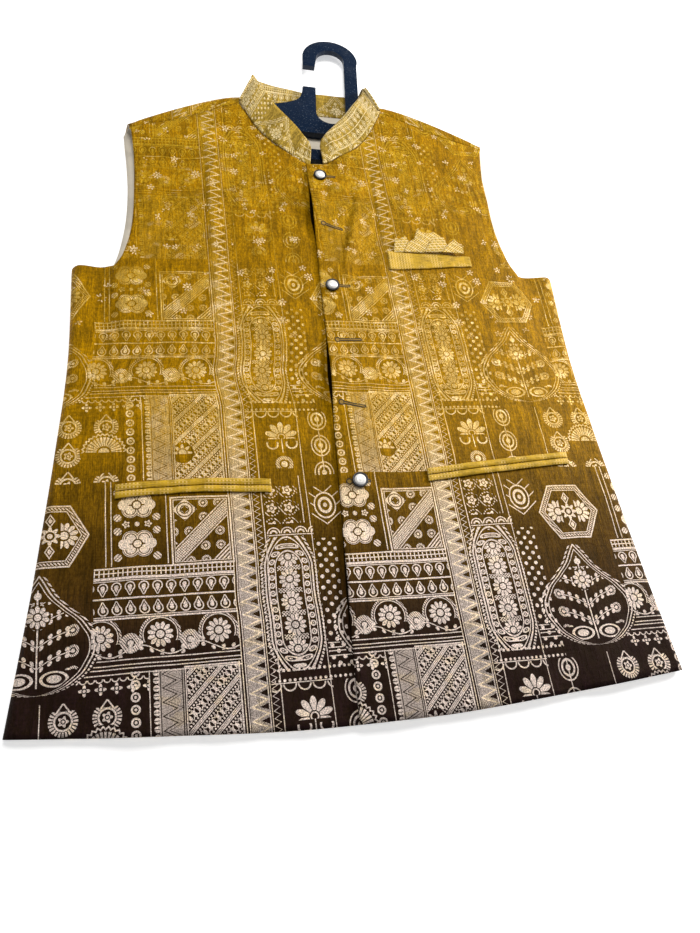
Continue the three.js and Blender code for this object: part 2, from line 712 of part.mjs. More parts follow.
// The hook, its stem, the notch, and the post with the wing beside it
function hookShape() {
  const shape = new THREE.Shape();
  const root = 12;
  shape.moveTo(-wingAcross + 6, root);
  shape.lineTo(stemRight, root);
  shape.lineTo(stemRight + 1, hookCentre.y);
  shape.absarc(hookCentre.x, hookCentre.y, hookOuterRadius, 0, Math.PI, false);
  shape.lineTo(hookTipLeft, hookTipUp);
  shape.lineTo(hookTipRight, hookTipUp);
  shape.lineTo(hookCentre.x - hookInnerRadius, hookCentre.y);
  shape.absarc(hookCentre.x, hookCentre.y, hookInnerRadius, Math.PI, 0, true);
  shape.lineTo(stemLeft, notchCentreUp);
  shape.absarc(stemLeft - notchRadius, notchCentreUp, notchRadius, 0, Math.PI, true);
  shape.lineTo(postRight + 1, postUp);
  shape.lineTo(postLeft + 3, postUp);
  shape.quadraticCurveTo(postLeft, postUp, postLeft, postUp - 4);
  shape.quadraticCurveTo(postLeft, 62, -18, 56);
  shape.quadraticCurveTo(-30, 47, -wingAcross, wingUp);
  shape.closePath();
  return shape;
}

// The web, both arms and the lower bar, with the long window between them
function bodyShape() {
  const shape = new THREE.Shape();
  const tipRound = 15;
  const shoulderUp = 33;
  const shoulderAcross = 62;
  shape.moveTo(-armAcross + tipRound, barBottom);
  shape.lineTo(armAcross - tipRound, barBottom);
  shape.quadraticCurveTo(armAcross + 3, barBottom, armAcross + 2, armTipUp - 12);
  shape.quadraticCurveTo(armAcross + 1, armTipUp, armAcross - 8, armTipUp + 3);
  shape.quadraticCurveTo(120, 17, shoulderAcross, shoulderUp);
  shape.lineTo(stemLeft + 1, shoulderUp);
  const notch = Math.acos((shoulderUp - notchCentreUp) / notchRadius) - Math.PI / 2;
  shape.absarc(stemLeft - notchRadius, notchCentreUp, notchRadius, -notch, Math.PI + notch, true);
  shape.lineTo(-shoulderAcross, shoulderUp);
  shape.quadraticCurveTo(-120, 17, -armAcross + 8, armTipUp + 3);
  shape.quadraticCurveTo(-armAcross - 1, armTipUp, -armAcross - 2, armTipUp - 12);
  shape.quadraticCurveTo(-armAcross - 3, barBottom, -armAcross + tipRound, barBottom);
  const window = new THREE.Path();
  window.moveTo(-150, barTop);
  window.lineTo(-60, 0);
  window.lineTo(60, 0);
  window.lineTo(150, barTop);
  window.closePath();
  shape.holes.push(window);
  return shape;
}

function hangerGeometry() {
  const hook = solidOf(extruded(hookShape(), hookBottom, hangerTop));
  const body = solidOf(extruded(bodyShape(), hangerBottom, hangerTop));
  const geometry = geometryFrom(hook.add(body));
  return geometry.rotateZ(hangerTurn).translate(0, hangerUp, 0);
}

const part = new THREE.Group();
const garment = new THREE.Group();
garment.position.y = -overallLength / 2;
part.add(garment);

function addPiece(name, geometry, material, holder = garment) {
  const mesh = new THREE.Mesh(geometry, material);
  mesh.name = name;
  holder.add(mesh);
  return mesh;
}

addPiece('back', backPanel(), cloth);
addPiece('back_lining', backLining(), liningCloth);
addPiece('front_right', frontPanel(-1), cloth);
addPiece('front_left', frontPanel(1), cloth);
addPiece('collar', collarBand(), collarCloth);
addPiece('chest_welt', trimOnFront(2, 10, weltPlace, trimWall), trimCloth);
addPiece('pocket_square', trimOnFront(3, 26, squarePlace, trimWall), trimCloth);
for (const jet of jets) {
  const shift = (jetWidth + jetSlit) / 2;
  addPiece(`${jet.name}_upper_jet`, trimOnFront(1, 14, jetPlace(jet, shift), trimWall), trimCloth);
  addPiece(`${jet.name}_lower_jet`, trimOnFront(1, 14, jetPlace(jet, -shift), trimWall), trimCloth);
}
buttonPlaces.forEach(({ across, up }, index) => {
  const button = new THREE.Group();
  const bed = frontHeight(across, up) + overlapLift(across, up) + gap;
  button.position.set(across, up, bed);
  garment.add(button);
  addPiece(`button_${index + 1}_rim`, buttonRim(), buttonMetal, button);
  addPiece(`button_${index + 1}_face`, buttonFace(), buttonPearl, button);
});
addPiece('hanger', hangerGeometry(), blackPlastic);

export default part;
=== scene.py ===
"""A sleeveless nehru jacket in figured brocade, laid on its back with its coat hanger inside."""

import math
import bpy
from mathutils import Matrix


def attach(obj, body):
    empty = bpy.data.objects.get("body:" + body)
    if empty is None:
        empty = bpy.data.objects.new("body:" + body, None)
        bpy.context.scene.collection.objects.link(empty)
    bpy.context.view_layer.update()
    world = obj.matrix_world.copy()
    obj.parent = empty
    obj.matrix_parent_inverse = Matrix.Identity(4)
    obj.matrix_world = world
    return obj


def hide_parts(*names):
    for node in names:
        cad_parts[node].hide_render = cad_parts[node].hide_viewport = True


bl_info = {
    "name": "Nehru Jacket",
    "version": (1, 0, 0),
    "blender": (4, 5, 0),
    "location": "3D View > Sidebar > Jacket",
    "description": "Builds a laid nehru jacket of figured brocade on a plastic coat hanger",
    "category": "Object",
}

import bmesh
import bpy
import numpy as np
from mathutils import Matrix, Vector

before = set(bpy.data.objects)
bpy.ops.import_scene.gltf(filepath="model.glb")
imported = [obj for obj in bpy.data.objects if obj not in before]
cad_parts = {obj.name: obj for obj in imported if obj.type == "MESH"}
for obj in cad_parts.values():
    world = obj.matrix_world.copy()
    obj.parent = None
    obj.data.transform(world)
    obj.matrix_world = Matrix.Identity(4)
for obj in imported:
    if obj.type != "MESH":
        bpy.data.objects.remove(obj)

# Sizes in millimetres, most of them the solids' own. "up" is measured from the lowest point of the hem.
OVERALL_LENGTH = 842.6
FRONT_WALL = 1.6
BACK_WALL = 1.4
LINING_WALL = 1.0
COLLAR_WALL = 2.2
TRIM_WALL = 1.3
GAP = 0.35
SIDE_SEAM_HEIGHT = 3.6
BACK_ROUND = 5.5
LOFT_RUN_IN = 95
UNDERARM_UP = 457
UNDERARM_DIP = 3
SHOULDER_TIP = 211
NECK_HALF_WIDTH = 87
BACK_NECK_UP = 711
BACK_NECK_TURN = 66
LEAST_TURN = 0.05
WRAP_STRAIGHT = 0.25
TIP_NARROWING = {"from": 195, "run": 24.5, "by": 8.5}
UNDER_EDGE_ACROSS = 17
OVERLAP_FADE = 30
EDGE_LIFT_FADE = 24
LINING_START = 440
LINING_INSET = 7
LINING_NECK_INSET = 4
LINING_TOP = 645
LINING_RISE = 4
BACK_NECK_FLAT = 30
BACK_NECK_RUN = 40
# Where the left front's cut starts in the pattern
LEFT_PATTERN_START = 190.0
# The underarm line dips past this share of the side's columns
DIP_START = 0.3
# How far inward of the edge the side's columns start, and the share of them that lies flat
FRONT_SIDE_RUN = 42
BACK_SIDE_RUN = 30
FRONT_FLAT_SHARE = 0.4
BACK_FLAT_SHARE = 0.2
# The fronts rise from the body's height to the shoulder's past this place and near the seam
SHOULDER_START = 60
SHOULDER_RUN_IN = 25
SHOULDER_REACH = 55
SIDE_CALM = 14
LAYER_EASE = 0.25
LAYER_EDGE_EASE = 4
# The right front dips beside the left front's edge by this share of the edge's lift
GROOVE_SHARE = 1.15
GROOVE_OUT = 1.5
GROOVE_WIDTH = 4.5
# The shade's value at its line, and how much wider each millimetre of lift makes the shade
SHADE_LINE = 5.0
SHADE_REACH = 0.3
# Folds up to this width die away to this share at their ends
FINE_FOLD = 8
FOLD_END_SHARE = 0.35
# A cloth's edge stands out by this share of its wall
EDGE_BULGE = 0.1
# The smallest area worked out for a cut, as a share of the flat span
LEAST_FILL = 0.31
# A row's pattern grows only where its steps are this much longer than level ones
STEEP_STEP = 1.06
# The collar waves freely above this height, and by this share below it
COLLAR_FREE_HEIGHT = 12
COLLAR_PRESSED = 0.2
# Gaps under the collar's foot: at most places, and where the band passes over the shoulder seam
COLLAR_CLEAR = 0.6 * GAP
CROSSOVER_CLEAR = 1.5 * GAP
CROSSOVER_RISE = 2.5 * GAP
# The jets' rise across their width, and the share of their length that is tacked at each end
JET_CROWN = 0.9
JET_TACK = 0.03
# The folded square: its wall, how far it reaches behind the welt, its least height over that,
# the rise of the lowest layer and of each one on it, and how far the peaks lean out
SQUARE_WALL = 0.5
SQUARE_TUCK = 1.2
SQUARE_LEAST = 0.4
SQUARE_RISE = 0.3
SQUARE_STEP = 1.0
SQUARE_LEAN = 2.2


class Table:
    """Rows of numbers under named columns, read as smooth curves over the first column."""

    def __init__(self, columns, rows):
        names = columns.split()
        self.key = names[0]
        self.columns = {name: np.array([row[i] for row in rows], float) for i, name in enumerate(names)}

    def at(self, column, where):
        x = self.columns[self.key]
        y = self.columns[column]
        where = np.clip(where, x[0], x[-1])
        low = np.clip(np.searchsorted(x, where, side="right") - 1, 0, len(x) - 2)
        before = np.maximum(low - 1, 0)
        after = np.minimum(low + 2, len(x) - 1)
        span = x[low + 1] - x[low]
        share = (where - x[low]) / span
        rise = y[low + 1] - y[low]
        start = (y[low + 1] - y[before]) / (x[low + 1] - x[before]) * span
        end = (y[after] - y[low]) / (x[after] - x[low]) * span
        bend = 3 * rise - 2 * start - end + share * (start + end - 2 * rise)
        return y[low] + share * (start + share * bend)


SIDE = Table(
    "up half_width side_loft round",
    [
        (-4, 285, 8.0, 7), (100, 275, 8.6, 7.5), (165, 270, 9.0, 8), (240, 265, 9.4, 8),
        (340, 260, 10.2, 8.5), (430, 262, 11.0, 9), (456, 263, 11.2, 9),
    ],
)
LOFT = Table(
    "up loft",
    [
        (-4, 9.0), (100, 10.0), (240, 11.8), (340, 12.8), (456, 14.0),
        (560, 15.0), (620, 15.6), (660, 17.6), (705, 20.2),
    ],
)
HEM = Table("across up", [(0, 0), (60, 0.5), (110, 3), (160, 6.5), (210, 10), (290, 17)])
ARMHOLE = Table(
    "up front back",
    [
        (457, 221, 228), (470, 213, 222), (497, 206.5, 216.5), (530, 204, 213), (570, 204, 212.5),
        (610, 205.5, 215), (640, 208, 218), (664, 211, 219.5), (700, 213, 220),
    ],
)
SHOULDER = Table(
    "across ridge seam wrap",
    [
        (80, 718, 705, 10), (100, 715, 696, 10), (130, 704, 681, 10), (165, 688, 666, 9.5),
        (200, 670, 656, 8.5), (221, 661, 648, 7),
    ],
)
SHOULDER_HEIGHT = Table("across height", [(80, 20.2), (130, 19.6), (180, 18.0), (221, 16.4)])
NECK = Table(
    "across up",
    [(8, 611), (17, 616), (28, 624.5), (40, 633), (52, 643.5), (63, 656.5), (72, 671), (80, 687), (87, 702)],
)
OVERLAP_EDGE = Table(
    "up across",
    [(-4, -17), (70, -16.5), (167, -14.5), (265, -12.5), (330, -10.5), (430, -11), (560, -11), (615, -12.5)],
)
BACK_STATIONS = [0, 22, 44, 66, 71, 76, 80.5, 84.5, 87, 103, 125, 150, 175, 200, 219.5]

# Up, reach and rise of each place where the left front's edge stands off
EDGE_LIFTS = [(541, 50, 5.4), (325, 54, 5.2), (110, 60, 2.4)]

# Folds of the fronts: from x, from up, to x, to up, width, rise. The first eleven are in the solids.
FOLDS = [
    (60, 520, 22, 436, 13, -2.6), (-234, 456, -226, 385, 12, -3.2), (232, 452, 240, 350, 13, -3.4),
    (-121, 650, -119, 395, 9, 2.0), (64, 655, 63, 500, 10, -1.2), (150, 620, 168, 560, 12, -1.6),
    (-158, 610, -172, 540, 12, -1.6), (-190, -10, -196, 120, 20, 1.8), (120, -10, 128, 105, 22, 1.6),
    (214, -10, 206, 150, 20, 1.4), (-92, -10, -96, 90, 20, -0.8),
    # Finer creases, which only the cloth shells have
    (48, 578, 17, 446, 5.5, 4.2), (38, 562, 12, 462, 4.2, -1.6), (59, 548, 33, 428, 3.6, 1.4),
    (9, 588, 50, 552, 3.2, 1.6), (14, 430, 44, 372, 3.6, -1.2), (-14, 560, -34, 470, 4.0, 1.3),
    (-22, 520, -46, 410, 3.4, -1.1), (-222, 432, -158, 404, 4.6, 1.2), (226, 440, 168, 398, 4.6, 1.4),
    (104, 470, 128, 398, 3.6, 1.0), (-125, 655, -123, 470, 2.2, 0.9), (-128, 640, -127, 430, 2.4, -0.7),
    (63, 650, 63.5, 492, 1.6, -0.9), (67, 640, 67, 500, 2.4, 0.5), (48, 596, 30, 560, 4, -1.0),
    (38, 600, 26, 585, 3, 0.8), (52, 500, 30, 452, 5, -0.9), (72, 452, 40, 420, 6, 0.8),
    (-40, 600, -52, 560, 5, -0.8), (-30, 580, -48, 520, 7, 0.7), (-88, 620, -96, 560, 6, -0.7),
    (-70, 640, -84, 605, 4, 0.8), (-176, 640, -186, 600, 6, -0.9), (-196, 600, -170, 570, 7, 0.7),
    (-190, 520, -150, 505, 8, -0.7), (-205, 470, -160, 448, 8, -0.9), (-210, 480, -176, 486, 6, 0.8),
    (-252, 450, -246, 370, 7, 1.0), (-216, 440, -206, 360, 8, 0.9), (-236, 380, -222, 320, 9, -0.8),
    (-180, 420, -120, 410, 9, -0.6), (-200, 330, -140, 318, 10, 0.6), (-110, 350, -50, 342, 9, -0.6),
    (-80, 460, -30, 448, 9, 0.6), (-60, 260, -20, 268, 8, -0.7), (-150, 250, -90, 256, 10, 0.6),
    (-230, 205, -180, 196, 8, -0.7), (-60, 190, -24, 182, 7, 0.6), (-230, 90, -170, 80, 12, 0.7),
    (-120, 60, -60, 70, 12, -0.5), (92, 652, 100, 610, 5, -0.8), (120, 656, 132, 600, 7, 0.8),
    (176, 640, 160, 600, 6, -0.9), (190, 560, 168, 520, 8, 0.8), (196, 500, 150, 512, 8, -0.7),
    (204, 466, 176, 446, 7, 0.9), (222, 430, 214, 350, 7, 1.0), (250, 440, 246, 340, 7, 0.8),
    (180, 420, 120, 428, 10, -0.6), (40, 400, 90, 392, 9, 0.6), (110, 340, 170, 352, 10, -0.6),
    (30, 330, 70, 322, 9, -0.6), (60, 240, 110, 232, 10, 0.6), (230, 260, 180, 250, 10, 0.6),
    (240, 200, 222, 120, 10, -0.8), (60, 150, 130, 140, 13, -0.5), (30, 90, 60, 30, 12, 0.6),
    (160, 90, 180, 10, 12, -0.8), (254, 110, 258, 20, 10, 0.8),
]

CHEST_WELT = {
    "left": 68, "right": 165, "left_low": 458.5, "left_high": 484, "right_low": 466.5, "right_high": 480.5,
}
# Across and up of the corners of each layer of the pocket square, from the back to the front
SQUARE_LAYERS = [
    [(95, 484), (105, 511), (108, 518), (112, 512), (118, 510), (127, 514), (133, 509), (146, 484)],
    [(76, 484), (79, 502), (84, 500), (91, 505), (101, 484)],
    [(88, 484), (94, 496), (100, 500), (112, 505), (124, 484)],
    [(112, 484), (122, 501), (136, 503), (142, 484)],
    [(132, 483), (141, 495), (149, 501), (156, 490), (157, 483)],
]
JET_WIDTH = 6.2
JET_SLIT = 0.7
JETS = [
    {"name": "pocket_left", "left": 73, "right": 222, "left_up": 213.5, "right_up": 227, "arch": 1},
    {"name": "pocket_right", "left": -211, "right": -76, "left_up": 208, "right_up": 208.5, "arch": 3},
]
# Panel and side, then each place on its neck edge: how far across it lies, and how far the
# band's upper edge stands from it in x, up and z
COLLAR_EDGE = [
    ("front", 1, [
        (8, -3, 23, 4.5), (17, -10, 26, 5.5), (28, -15, 27, 6.5), (40, -19, 29, 7), (52, -21, 31, 7.5),
        (63, -22, 32, 7.5), (72, -21, 32, 7), (80, -18.5, 32, 5.5),
    ]),
    ("back", 1, [
        (87, -18, 30, 7), (84.5, -15, 27, 6), (80.5, -10, 29, 2), (76, -5.5, 31, 1), (71, -3, 36.5, 0.8),
        (66, -2.5, 40, 0.9), (44, -2, 38, 1), (22, -1, 38.5, 1),
    ]),
    ("back", -1, [
        (0, 0, 38.5, 1.2), (22, 1, 39.5, 4), (44, 3, 40.5, 7), (66, 5, 41, 12), (71, 6, 38.5, 14),
        (76, 8, 32.5, 10), (80.5, 10.5, 28.5, 8.5), (84.5, 14, 29, 9.5), (87, 17, 31, 11),
    ]),
    ("front", -1, [
        (80, 19.5, 31, 10.5), (72, 21, 31, 9.5), (63, 22, 31, 9), (52, 21, 31, 8), (40, 19, 29, 7),
        (28, 15, 27, 6.5), (17, 10, 26, 5.5), (8, 3, 23, 4.5),
    ]),
]
CROSSOVER_HEIGHT = 16.5


def clamp01(value):
    return np.clip(value, 0, 1)


def smooth(value):
    value = clamp01(value)
    return value * value * (3 - 2 * value)


def mix(low, high, share):
    return low + (high - low) * share


def fold_rise(x, up):
    """Rise or fall of all folds and creases at places on the fronts."""
    rise = np.zeros(np.broadcast(x, up).shape)
    for from_x, from_up, to_x, to_up, width, height in FOLDS:
        run_x = to_x - from_x
        run_up = to_up - from_up
        share = clamp01(((x - from_x) * run_x + (up - from_up) * run_up) / (run_x**2 + run_up**2))
        away = np.hypot(x - from_x - share * run_x, up - from_up - share * run_up)
        taper = 1 if width > FINE_FOLD else mix(FOLD_END_SHARE, 1, np.sin(np.pi * share))
        rise = rise + height * taper * np.exp(-((away / width) ** 2))
    return rise


def crush(x, up):
    """The faint uneven crumple of silk brocade that has been folded and laid out again."""
    slow = np.sin(x * 0.061 + 1.7 * np.sin(up * 0.023)) * np.sin(up * 0.047 + 1.3 * np.sin(x * 0.031 + 2))
    quick = np.sin(x * 0.19 + 2.1 * np.sin(up * 0.071)) * np.sin(up * 0.15 + 1.9 * np.sin(x * 0.083))
    return 0.95 * slow + 0.4 * quick


def front_height(x, up):
    """Height of the fronts' outer face, as if they were one cloth."""
    across = np.abs(x)
    inward = SIDE.at("half_width", up) - across
    body = mix(SIDE.at("side_loft", up), LOFT.at("loft", up), smooth(inward / LOFT_RUN_IN))
    below_seam = SHOULDER.at("seam", across) - up
    near = smooth(1 - below_seam / SHOULDER_REACH) * smooth((across - SHOULDER_START) / SHOULDER_RUN_IN)
    to_shoulder = np.where(across < SHOULDER_START, 0, near)
    calm = (1 - smooth(1 - inward / SIDE_CALM)) * (1 - to_shoulder)
    shoulder = SHOULDER_HEIGHT.at("height", across)
    return mix(body, shoulder, to_shoulder) + (fold_rise(x, up) + crush(x, up)) * calm


def edge_lift(up):
    """How far the left front's edge stands off."""
    return sum(rise * smooth(1 - np.abs(up - place) / reach) for place, reach, rise in EDGE_LIFTS)


def overlap_lift(x, up):
    """How far the left front stands above the right front."""
    edge = OVERLAP_EDGE.at("across", up)
    over = smooth((x - UNDER_EDGE_ACROSS - LAYER_EDGE_EASE) / OVERLAP_FADE)
    layer = (FRONT_WALL + GAP + LAYER_EASE) * (1 - over)
    return layer + edge_lift(up) * smooth(1 - (x - edge) / EDGE_LIFT_FADE)


def under_groove(x, up):
    """How far the right front dips along the left front's edge, where that stands off."""
    from_middle = x - OVERLAP_EDGE.at("across", up) + GROOVE_OUT
    return GROOVE_SHARE * edge_lift(up) * np.exp(-((from_middle / GROOVE_WIDTH) ** 2))


def edge_shade(x, up):
    """SHADE_LINE where the left front's edge starts to keep the light off, and more further under it."""
    shade = SHADE_LINE + x - OVERLAP_EDGE.at("across", up) + SHADE_REACH * edge_lift(up)
    return np.clip(shade, 0, 2 * SHADE_LINE)


def on_front(x, up):
    """Height of the outer face of whichever front lies on top."""
    return front_height(x, up) + np.where(x > OVERLAP_EDGE.at("across", up), overlap_lift(x, up), 0)


def finer(stops, pieces):
    """Each step between two stops, cut into that many."""
    fine = [mix(a, b, part / pieces) for a, b in zip(stops, stops[1:]) for part in range(pieces)]
    return np.array(fine + [stops[-1]], float)


def wrap_turn(across):
    turn = smooth((across - BACK_NECK_TURN) / (NECK_HALF_WIDTH - BACK_NECK_TURN))
    return np.maximum(LEAST_TURN, turn)


def wrap_point(side, across, share):
    """The back's outer face as it turns over the shoulder; share 0 is its foot and 1 its seam."""
    turn = wrap_turn(across)
    bent = np.minimum(1, share / (1 - WRAP_STRAIGHT))
    straight = np.maximum(0, share - 1 + WRAP_STRAIGHT) / WRAP_STRAIGHT
    narrowing = TIP_NARROWING["by"] * smooth((across - TIP_NARROWING["from"]) / TIP_NARROWING["run"])
    tip = across - narrowing
    reached = mix(across, tip, bent)
    wrap = SHOULDER.at("wrap", across)
    crown = SHOULDER.at("ridge", across) - wrap
    foot = mix(BACK_NECK_UP, crown, smooth((across - BACK_NECK_FLAT) / BACK_NECK_RUN))
    half = SHOULDER_HEIGHT.at("height", reached) / 2
    angle = np.pi * (bent * turn - 0.5)
    run = np.maximum(0, crown - SHOULDER.at("seam", tip) - GAP) * straight * turn
    up = foot + wrap * np.cos(angle) - run * np.sin(angle)
    z = half + half * np.sin(angle) + run * np.cos(angle)
    return np.stack(np.broadcast_arrays(side * reached, up, z), axis=-1)


def scene_point(point):
    """A point in the garment's own millimetres, as metres in the row's frame."""
    return Vector((point[0] / 1000, (point[1] - OVERALL_LENGTH / 2) / 1000, point[2] / 1000))


def unit(vector):
    return vector / max(np.linalg.norm(vector), 1e-9)


def new_mesh(name, mesh, materials):
    data = bpy.data.meshes.new(name)
    mesh.to_mesh(data)
    mesh.free()
    for material in materials:
        data.materials.append(material)
    piece = bpy.data.objects.new(name, data)
    bpy.context.collection.objects.link(piece)
    return piece


def cloth_shell(name, outer, wall, cloth_uv, materials, has=None, turned=False, sides=None, shades=None):
    """A piece of cloth with its lining: a grid of outer points, an inner face, and a rounded edge.

    The first material is the face, and the last one the inside. has is a grid of which cells are
    cloth, and sides gives the way that points on a side seam face. shades holds two grids, the
    shade of the outer points and that of the rest.
    """
    outer = np.asarray(outer, float)
    if has is None:
        has = np.ones((len(outer) - 1, len(outer[0]) - 1), bool)
    across = outer[1:, 1:] - outer[:-1, :-1]
    along = outer[1:, :-1] - outer[:-1, 1:]
    cell_normals = np.cross(across, along) * has[..., None] * (-1 if turned else 1)
    normals = np.zeros_like(outer)
    lower, upper = slice(None, -1), slice(1, None)
    for rows, columns in ((lower, lower), (lower, upper), (upper, lower), (upper, upper)):
        normals[rows, columns] += cell_normals
    if sides is not None:
        normals = np.where(np.isfinite(sides), sides, normals)
    length = np.linalg.norm(normals, axis=-1, keepdims=True)
    inner = outer - normals / np.maximum(length, 1e-12) * wall
    middle = {}
    points = {"outer": outer, "middle": middle, "inner": inner}
    mesh = bmesh.new()
    uv_layer = mesh.loops.layers.uv.new("cloth")
    shade_layer = mesh.verts.layers.float.new("edge_shade")
    made = {}

    def vertex(kind, spot):
        if (kind, spot) not in made:
            corner = made[kind, spot] = mesh.verts.new(scene_point(points[kind][spot]))
            if shades is not None:
                corner[shade_layer] = shades[0 if kind == "outer" else 1][spot]
        return made[kind, spot]

    def face(corners, material):
        shape = mesh.faces.new([vertex(*corner) for corner in corners])
        shape.smooth = True
        shape.material_index = material
        for loop, (_, spot) in zip(shape.loops, corners):
            loop[uv_layer].uv = cloth_uv[spot]

    edges = {}
    for row, column in np.argwhere(has):
        ring = [(row, column), (row, column + 1), (row + 1, column + 1), (row + 1, column)]
        if turned:
            ring.reverse()
        face([("outer", spot) for spot in ring], 0)
        face([("inner", spot) for spot in ring[::-1]], len(materials) - 1)
        for start, end in zip(ring, ring[1:] + ring[:1]):
            if (end, start) in edges:
                del edges[(end, start)]
            else:
                edges[(start, end)] = (row, column)
    for (start, end), (row, column) in edges.items():
        centre = outer[row : row + 2, column : column + 2].reshape(4, 3).mean(axis=0)
        along_edge = unit(outer[end] - outer[start])
        way = (outer[start] + outer[end]) / 2 - centre
        way = unit(way - along_edge * way.dot(along_edge))
        for spot in (start, end):
            middle[spot] = middle.get(spot, 0) + way
    for spot, way in middle.items():
        middle[spot] = (outer[spot] + inner[spot]) / 2 + unit(way) * EDGE_BULGE * wall
    for start, end in edges:
        for near, far in (("outer", "middle"), ("middle", "inner")):
            face([(near, start), (far, start), (far, end), (near, end)], 0)
    return new_mesh(name, mesh, materials)


def declare_cut(piece, cloth_uv):
    """Works out the cut of a piece of cloth, the span of its pattern and the area of one of its faces, and
    does nothing more with them.
    """
    width, length = np.nanmax(cloth_uv, axis=(0, 1)) - np.nanmin(cloth_uv, axis=(0, 1))
    flat = (float(width) / 1000, float(length) / 1000)
    area = sum(face.area for face in piece.data.polygons) / 2
    area = min(max(area, LEAST_FILL * flat[0] * flat[1]), flat[0] * flat[1])


# Cloth pieces, as grids of outer points


def front_top(across):
    level = NECK.columns["up"][0] - GAP
    neck = NECK.at("up", across) - GAP
    shoulder = SHOULDER.at("seam", across) - GAP
    above = np.where(across <= NECK_HALF_WIDTH, neck, shoulder)
    return np.where(across < NECK.columns["across"][0], level, above)


def turned_side(count, flat_share, fixed, edge, round_off):
    """Columns from under the armhole out to the side: flat at first, then turned round the edge.

    Gives how far out each lies as a share, its turn, where the flat ends, and the places across.
    """
    beyond = (np.arange(1, count + 1) / count)[None, :]
    turn = clamp01((beyond - flat_share) / (1 - flat_share)) * np.pi / 2
    flat_end = edge - round_off
    flat = mix(fixed, flat_end, beyond / flat_share)
    across = np.where(beyond <= flat_share, flat, flat_end + round_off * np.sin(turn))
    return beyond, turn, flat_end, across


def underarm_line(beyond):
    """Upper edge of the body's columns, which dips towards the side seam."""
    return UNDERARM_UP - UNDERARM_DIP * smooth((beyond - DIP_START) / (1 - DIP_START))


def joined_rows(low, high, start):
    """The body's rows with the narrower rows above them, which cells are cloth, and open sides."""
    lower, columns = low.shape[:2]
    end = start + high.shape[1]
    grid = np.zeros((lower + len(high), columns, 3))
    grid[:lower] = low
    grid[lower:, start:end] = high
    has = np.ones((len(grid) - 1, columns - 1), bool)
    has[lower - 1 :, :start] = False
    has[lower - 1 :, end - 1 :] = False
    return grid, has, np.full(grid.shape, np.nan)


def front_grid(side, columns_each=4, lower_rows=96, upper_rows=62):
    """One front: side is 1 for the left front, on top, and -1 for the right front under it."""
    left = side > 0

    def centre_at(up):
        return OVERLAP_EDGE.at("across", up) if left else np.full(np.shape(up), -UNDER_EDGE_ACROSS, float)

    def height_at(across, up):
        x = side * across
        return front_height(x, up) + (overlap_lift(x, up) if left else -under_groove(x, up))

    top_start = float(centre_at(np.array(NECK.columns["up"][0])))
    start_run = np.linspace(top_start, NECK.columns["across"][0], 3)[:-1]
    shoulder_run = np.linspace(NECK_HALF_WIDTH, SHOULDER_TIP, 10)
    top_across = finer([*start_run, *NECK.columns["across"][:-1], *shoulder_run], columns_each)
    share = (top_across - top_start) / (SHOULDER_TIP - top_start)
    count = len(share)

    climb = np.linspace(0, 1, lower_rows + 1)[:, None]
    guess = climb * UNDERARM_UP
    edge = SIDE.at("half_width", guess)
    fixed = mix(edge - FRONT_SIDE_RUN, ARMHOLE.columns["front"][0], climb**3)
    body_across = mix(centre_at(guess), fixed, share[None, :])
    round_off = SIDE.at("round", guess)
    beyond, turn, flat_end, side_across = turned_side(18, FRONT_FLAT_SHARE, fixed, edge, round_off)
    crown = height_at(flat_end, guess)
    turned_z = SIDE_SEAM_HEIGHT + (crown - SIDE_SEAM_HEIGHT) * np.cos(turn)
    low_across = np.concatenate([body_across, side_across], axis=1)
    all_beyond = np.concatenate([np.zeros((1, count)), beyond], axis=1)
    low_up = mix(HEM.at("up", low_across), underarm_line(all_beyond), climb)
    low_z = height_at(low_across, low_up)
    low_z[:, count:] = np.where(beyond > FRONT_FLAT_SHARE, turned_z, low_z[:, count:])

    climb = (np.arange(1, upper_rows + 1) / upper_rows)[:, None]
    edge_up = mix(UNDERARM_UP, float(front_top(np.array(SHOULDER_TIP))), climb)
    high_across = mix(centre_at(edge_up), ARMHOLE.at("front", edge_up), share[None, :])
    high_across[-1] = top_across
    high_up = mix(UNDERARM_UP, front_top(top_across)[None, :], climb)
    low = np.stack([side * low_across, low_up, low_z], axis=-1)
    high = np.stack([side * high_across, high_up, height_at(high_across, high_up)], axis=-1)
    grid, has, sides = joined_rows(low, high, 0)
    sides[: lower_rows + 1, -1] = (side, 0, 0)
    return grid, has, sides


